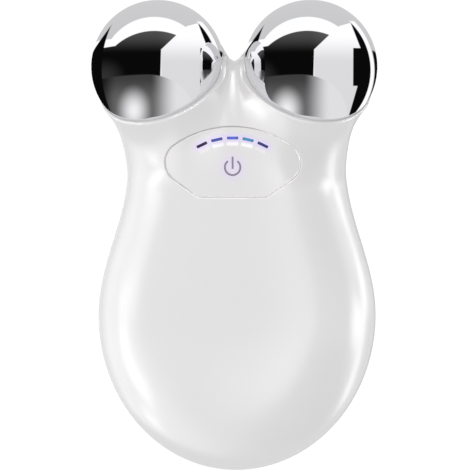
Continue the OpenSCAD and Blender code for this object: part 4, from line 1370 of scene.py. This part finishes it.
class TONER_OT_key_plate(bpy.types.Operator):
    """Build the key plate, which moves with the key"""

    bl_idname = "toner.key_plate"
    bl_label = "Key plate"

    def execute(self, context):
        settings = settings_of("toner_key")
        edge, recess = settings.edge_radius, settings.recess
        ledge = (KEY_LEDGE, settings.groove_depth)
        mesh = build_plate(key_outline(), 1, KEY_THICKNESS - recess, edge, recess, KEY_STEPS, ledge)
        material = key_finish(settings)
        finish_piece(mesh, "key_plate", "key", material, ["power_key"], follows_skin=True)
        return {"FINISHED"}


class TONER_OT_lights(bpy.types.Operator):
    """Build the five tinted light windows in the key plate"""

    bl_idname = "toner.lights"
    bl_label = "Light windows"

    proud: a_length("Proud", "Height of a window above the key plate", 0.015 * MM, precision=6)

    def execute(self, context):
        settings = settings_of("toner_key")
        colours = np.array(settings.light_colours).reshape(LIGHT_COUNT, 3)
        for number, colour in enumerate(colours):
            mesh = bmesh.new()
            bmesh.ops.create_grid(mesh, x_segments=12, y_segments=4, size=1)
            bmesh.ops.scale(mesh, vec=(LIGHT_LENGTH / 2, LIGHT_WIDTH / 2, 1), verts=mesh.verts[:])
            corners = [v for v in mesh.verts if len(v.link_edges) == 2]
            bmesh.ops.bevel(
                mesh, geom=corners, offset=LIGHT_WIDTH / 4, offset_type="OFFSET", segments=4, profile=0.5,
                affect="VERTICES", material=-1)
            bmesh.ops.translate(mesh, vec=(0, LIGHT_ARC_RADIUS, 0), verts=mesh.verts[:])
            turn = Matrix.Rotation(-light_turn(number), 3, "Z")
            bmesh.ops.rotate(mesh, matrix=turn, cent=(0, 0, 0), verts=mesh.verts[:])
            bmesh.ops.translate(mesh, vec=(0, LIGHT_ARC_Y, 0), verts=mesh.verts[:])
            set_in_skin(mesh, KEY_THICKNESS, self.proud)
            material = light_finish(number, colour, settings.light_glow)
            nodes = ["light_windows"] if number == 0 else []
            finish_piece(mesh, f"light_window_{number + 1}", "key", material, nodes)
        return {"FINISHED"}


class TONER_OT_power_symbol(bpy.types.Operator):
    """Build the inlaid power symbol: an open ring and an upright bar"""

    bl_idname = "toner.power_symbol"
    bl_label = "Power symbol"

    opening: an_angle("Opening", "Half of the ring's open angle", 36)
    bar_bottom: a_length("Bar bottom", "Lower end of the bar above the ring's centre", -0.4 * MM)
    bar_top: a_length("Bar top", "Upper end of the bar above the ring's centre", 2.66 * MM)
    depth: a_length("Depth", "Depth of the inlay", 0.5 * MM)
    proud: a_length("Proud", "Height of the inlay above the key plate", 0.012 * MM, precision=6)

    def execute(self, context):
        settings = settings_of("toner_key")
        radius, stroke = settings.symbol_radius, settings.symbol_stroke
        mesh = bmesh.new()
        start = [mesh.verts.new((0, radius + share * stroke, 0)) for share in (-0.5, 0, 0.5)]
        line = [mesh.edges.new(start[i:i + 2]) for i in range(2)]
        turn = Matrix.Rotation(-self.opening, 3, "Z")
        bmesh.ops.rotate(mesh, matrix=turn, cent=(0, 0, 0), verts=start)
        bmesh.ops.spin(
            mesh, geom=start + line, cent=(0, 0, 0), axis=(0, 0, 1),
            angle=-(2 * math.pi - 2 * self.opening), steps=56)
        made = bmesh.ops.create_grid(mesh, x_segments=2, y_segments=12, size=1)["verts"]
        half_length = (self.bar_top - self.bar_bottom) / 2
        bmesh.ops.scale(mesh, vec=(stroke / 2, half_length, 1), verts=made)
        bmesh.ops.translate(mesh, vec=(0, self.bar_bottom + half_length, 0), verts=made)
        bmesh.ops.translate(mesh, vec=(0, SYMBOL_Y, 0), verts=mesh.verts[:])
        bmesh.ops.recalc_face_normals(mesh, faces=mesh.faces[:])
        set_in_skin(mesh, self.depth, self.proud)
        finish_piece(mesh, "power_symbol", "key", symbol_finish(settings.symbol_colour))
        return {"FINISHED"}


class TONER_OT_inner_finishes(bpy.types.Operator):
    """Give every solid that stays in view or inside the casing its real finish"""

    bl_idname = "toner.inner_finishes"
    bl_label = "Inner finishes"

    def execute(self, context):
        finishes = {m["slot"]: m for m in frame["record"]["materials"]}
        made = {}
        for part in frame["record"]["subparts"]:
            node = frame["nodes"][part["node"]]
            if node.hide_render:
                continue
            slot = part["material_slot"]
            if slot not in made:
                finish = finishes[slot]
                made[slot] = inner_finish(slot, finish["base_color"], finish["class"])
            for held in node.material_slots:
                held.material = made[slot]
        return {"FINISHED"}


class TONER_OT_studio(bpy.types.Operator):
    """Build the floor, the room's light, the lamp and the camera"""

    bl_idname = "toner.studio"
    bl_label = "Studio"

    def execute(self, context):
        settings = settings_of("toner_studio")
        scene = context.scene
        scene.view_settings.view_transform = "Standard"
        build_floor(settings)
        build_room(scene, settings)
        build_lamp(settings)
        build_camera(scene, settings)
        return {"FINISHED"}


def view_direction(settings):
    """Unit vector from the device towards the camera."""
    return Vector((math.sin(settings.view_lean), 0, math.cos(settings.view_lean)))


def build_floor(settings):
    """White floor, bright to the camera so that only the device's shadow shows on it."""
    mesh = bmesh.new()
    bmesh.ops.create_grid(mesh, x_segments=1, y_segments=1, size=settings.floor_size / 2)
    material, tree = new_material("floor")
    grain = tree.noise(tree.place(), scale=40, detail=3)
    paper = tree.add("ShaderNodeBsdfDiffuse", {"Color": tree.mix(grain, *FLOOR_SHADES)})
    glow = tree.add("ShaderNodeEmission", {"Color": WHITE, "Strength": FLOOR_GLOW})
    seen = tree.add("ShaderNodeLightPath")
    mixed = tree.add("ShaderNodeMixShader", {0: seen * FLOOR_GLOW_SHARE, 1: paper, 2: glow})
    tree.add("ShaderNodeOutputMaterial", {"Surface": mixed})
    floor = add_object("floor", mesh_data("floor", mesh, material))
    floor.visible_glossy = False


class MirrorBall:
    """Places in the room as a mirror ball shows them from the front: across and upwards, its edge at 1."""

    def __init__(self, tree, towards):
        direction = tree.add("ShaderNodeTexCoord")
        half = tree.add("ShaderNodeVectorMath", {0: direction, 1: towards}, operation="ADD")
        facing = tree.add("ShaderNodeVectorMath", {0: half}, operation="NORMALIZE")
        right = Vector((0, 1, 0)).cross(towards)
        self.across = tree.add(
            "ShaderNodeVectorMath", {0: facing, 1: right}, output=1, operation="DOT_PRODUCT")
        self.upward = tree.axes(facing)[1]
        self.radius = self.reach(0, 0)

    def reach(self, across, upward, wide=1, high=1):
        """Distance from a place, as a share of a width and a height."""
        x = (self.across - across) * (1 / wide)
        y = (self.upward - upward) * (1 / high)
        return (x * x + y * y) ** 0.5

    def left_of(self, start, end, soft=CARD_EDGE):
        """1 on the left of the line from start to end and 0 on its right."""
        dx, dy = end[0] - start[0], end[1] - start[1]
        length = math.hypot(dx, dy)
        offset = (start[0] * dy - start[1] * dx) / length
        return (self.upward * (dx / length) - self.across * (dy / length)).rise(-offset, soft)


def build_room(scene, settings):
    """Even white light all round, with cards and panels that only metal and gloss show."""
    scene.world = bpy.data.worlds.new("studio")
    tree = Tree(scene.world)
    camera_ray, glossy_ray, mirror_ray, depth = tree.outputs(
        "ShaderNodeLightPath", "Is Camera Ray", "Is Glossy Ray", "Is Singular Ray", "Ray Depth")
    ball = MirrorBall(tree, view_direction(settings))
    plain = camera_ray + (1 - camera_ray) * settings.room_light
    soft = plain.towards(panels_on_plastic(ball), glossy_ray * depth.fall(PANEL_BOUNCES, 0.1))
    strength = soft.towards(cards_on_chrome(ball), mirror_ray)
    background = tree.add("ShaderNodeBackground", {"Color": WHITE, "Strength": strength})
    tree.add("ShaderNodeOutputWorld", {"Surface": background})


def cards_on_chrome(ball):
    """Brightness of the cards and panels that the polished balls mirror."""
    across, upward = ball.across, ball.upward
    ring = ball.reach(-0.1, -0.06)
    # White panel with an arched top before a pale grey wall
    arch = ball.reach(-0.05, -0.05).fall(0.79, CARD_EDGE)
    left_step = across.fall(-0.5, 0.01) * (1 - ball.left_of((-0.84, 0.4), (-0.64, 0.415)))
    right_step = across.rise(0.42, 0.01) * (1 - ball.left_of((0.42, 0.6), (0.62, 0.66)))
    right_step = right_step * ring.fall(1.05, 0.01)
    panel = 0.76 + 0.32 * upward.rise(0.25, 0.45)
    white = 1.08 + (panel - 1.08) * across.rise(0.05, 0.03)
    shade = (0.6 + 0.05 * upward).towards(white, arch.most(left_step).most(right_step))
    # Black card, greyer towards its upper right and its lower left
    sheen = 0.075 * upward.rise(0.36, 0.34) + 0.05 * across.rise(0.2, 0.5) * upward.rise(0.3, 0.2)
    sheen = sheen + 0.03 * ball.reach(-0.8, -0.2).fall(0.2, 0.35)
    dome = ball.reach(-0.05, -0.35).fall(0.88, CARD_EDGE) * upward.rise(0.25, 0.01)
    dome = dome * ball.left_of((0.05, 0.25), (0.28, 0.47))
    block = ball.left_of((0.04, -0.13), (0.05, 0.25)) * upward.fall(0.26, 0.01)
    shoulder = across.fall(-0.57, 0.01) * (1 - ball.left_of((-0.85, 0.278), (-0.58, 0.315)))
    shade = shade.towards(BLACK_CARD + sheen, dome.most(block).most(shoulder))
    # Round table below the horizon, lit in one spot and bright on the right
    spot = ball.reach(-0.36, -0.66, 0.3, 0.42).fall(0.5, 1.0)
    table = 0.05 + 0.09 * upward.fall(-0.35, 0.4) + 0.8 * spot
    table = table.towards(0.8, across.rise(0.1, 0.42)) * (0.2 + 0.8 * across.rise(-0.72, 0.24))
    far_side = across.fall(-0.14, 0.01) * (upward + 0.12 * (across + 0.15) ** 2).fall(-0.125, 0.02)
    near_side = ball.reach(-0.15, -0.725, 0.7, 0.6).fall(1, 0.025) * across.rise(-0.16, 0.01)
    shade = shade.towards(table, far_side.most(near_side))
    # Black cards at both sides
    left_card = ball.reach(0.75, -0.05).rise(1.59, CARD_EDGE)
    left_card = left_card * (1 - ball.left_of((-0.97, 0.25), (-0.71, 0.6)))
    shade = shade.towards(BLACK_CARD, left_card)
    wedge = ball.left_of((0.74, 0.285), (0.6, 0.64)) * upward.rise(0.275, 0.004)
    middle = across.fall(0.635, 0.01) * upward.between(-0.3, 0.285, 0.004)
    lower = ball.left_of((0.56, -0.8), (0.7, -0.3)) * upward.fall(-0.29, 0.004)
    inner = 1 - wedge.most(middle).most(lower)
    right_side = across.rise(0.5, 0.02) * upward.fall(0.68, 0.02)
    shade = shade.towards(BLACK_CARD, ring.fall(1.0, CARD_EDGE) * inner * right_side)
    shade = shade.towards(1.05, ring.between(1.0, 1.05) * right_side)
    return shade.towards(BLACK_CARD, ring.rise(1.06, 0.01) * right_side * upward.between(-0.6, 0.25, 0.04))


def panels_on_plastic(ball):
    """Brightness of the panels that show as soft long highlights on the casing."""
    across, upward = ball.across, ball.upward
    # Left wall, brightest along its near edge
    wall = ball.reach(-0.05, 0.1).rise(0.44, 0.15) * across.fall(-0.12, 0.35) * upward.fall(0.4, 0.3)
    bend = (ball.reach(-0.38, -0.06) - 0.215).size().fall(0.045, 0.06)
    bend = bend * across.fall(-0.42, 0.08) * upward.fall(-0.03, 0.07)
    upright = (across + 0.56).size().fall(0.09, 0.06) * upward.rise(0, 0.05) * upward.fall(0.09, 0.12)
    tail = ball.reach(-0.49, -0.4, 0.09, 0.06).fall(0.8, 1.0)
    # Right window and its trail
    window = ball.reach(0.63, -0.03, 0.08, 0.11).fall(0.9, 0.7) * upward.rise(-0.16, 0.08)
    trail = (across - 0.19 * upward - 0.745).size().fall(0.045, 0.06)
    trail = trail * upward.between(-0.42, 0.24, 0.12)
    right_wall = across.rise(0.58, 0.12) * across.fall(0.83, 0.15)
    haze = ball.reach(0.7, 0.17, 0.13, 0.05).fall(0.5, 0.8)
    haze = haze + 1.5 * across.rise(0.78, 0.06) * upward.rise(0, 0.08)
    # Ceiling with a brighter lower right border, and the dark beyond it
    ceiling = ball.reach(-0.1, 0.07, 0.36, 0.37)
    border = ceiling.rise(0.6, 0.7) * ceiling.fall(1, 0.08)
    border = border * across.rise(-0.05, 0.3) * upward.fall(0.04, 0.1)
    middle = upward.between(-0.24, -0.08, 0.08)
    night = 1.1 + 0.9 * upward.between(-0.1, 0.06, 0.1)
    dark = ceiling.rise(1, 0.1) * across.rise(-0.05, 0.3) * (1 - 0.55 * across.rise(0.5, 0.25))
    shade = (2.2 + 2.4 * border + 0.4 * middle).towards(night, dark * upward.fall(0.3, 0.1))
    shade = shade + 2.2 * wall + 5.5 * bend + 4 * upright + 4 * tail
    shade = shade + 6 * window + 3.7 * trail + 1.5 * right_wall + 1.6 * haze
    # Glow straight above, that shows between the balls
    above = across.between(-0.22, 0.1, 0.12) * upward.rise(0.12, 0.07) * upward.fall(0.5, 0.1)
    shade = shade + 7 * above
    # Dim walls before and behind, that only a low view of the casing's top shows
    shade = shade.towards(0.6, upward.rise(0.52, 0.1)).towards(1.6, upward.fall(-0.5, 0.1))
    edge = 0.95 - 0.5 * across.rise(0, 0.6)
    return shade.towards(1.1, ball.radius.rise(0.86, 0.2)).towards(edge, ball.radius.rise(0.975, 0.04))


def build_lamp(settings):
    """Large soft lamp above the upper left."""
    lamp = bpy.data.lights.new("soft_lamp", "AREA")
    lamp.shape = "DISK"
    lamp.size = settings.lamp_size
    lamp.energy = settings.lamp_power
    holder = add_object("soft_lamp", lamp)
    holder.location = settings.lamp_place
    holder.rotation_euler = (-Vector(holder.location)).to_track_quat("-Z", "Y").to_euler()
    holder.visible_glossy = False


def build_camera(scene, settings):
    """Camera far in front of the key plate, with the device filling the picture."""
    camera = bpy.data.cameras.new("camera")
    holder = add_object("camera", camera)
    towards = view_direction(settings)
    holder.location = Vector(settings.view_place) + towards * settings.camera_distance
    upright = Vector((0, 1, 0))
    holder.rotation_euler = Matrix((upright.cross(towards), upright, towards)).transposed().to_euler()
    camera.lens = camera.sensor_width * settings.camera_distance / settings.view_height
    camera.clip_end = 2 * settings.camera_distance
    scene.camera = holder


# ---- Add-on ----------------------------------------------------------------------------

class TONER_PT_panel(bpy.types.Panel):
    """Lists the steps that build the device, and its settings"""

    bl_idname = "TONER_PT_panel"
    bl_label = "Toning device"
    bl_space_type = "VIEW_3D"
    bl_region_type = "UI"
    bl_category = "Toning device"

    def draw(self, context):
        for operator in OPERATORS:
            self.layout.operator(operator.bl_idname)
        for name in SETTINGS:
            box = self.layout.box()
            group = getattr(context.scene, name)
            for key in group.bl_rna.properties.keys():
                if key not in ("rna_type", "name"):
                    box.prop(group, key)


SETTINGS = {
    "toner_casing": CasingSettings,
    "toner_electrodes": ElectrodeSettings,
    "toner_key": KeySettings,
    "toner_studio": StudioSettings,
}
OPERATORS = (
    TONER_OT_front_shell,
    TONER_OT_rear_shell,
    TONER_OT_back_plate,
    TONER_OT_electrodes,
    TONER_OT_key_plate,
    TONER_OT_lights,
    TONER_OT_power_symbol,
    TONER_OT_inner_finishes,
    TONER_OT_studio,
)


def register():
    """Makes the classes and the scene's groups of settings known."""
    for group in (*SETTINGS.values(), *OPERATORS, TONER_PT_panel):
        bpy.utils.register_class(group)
    for name, group in SETTINGS.items():
        setattr(bpy.types.Scene, name, PointerProperty(type=group))


def unregister():
    """Takes the classes and the groups of settings away again."""
    for name in SETTINGS:
        delattr(bpy.types.Scene, name)
    for group in reversed((*SETTINGS.values(), *OPERATORS, TONER_PT_panel)):
        bpy.utils.unregister_class(group)


def main():
    """Builds every piece and the studio."""
    register()
    for operator in OPERATORS:
        group, name = operator.bl_idname.split(".")
        getattr(getattr(bpy.ops, group), name)()


if __name__ == "__main__":
    main()
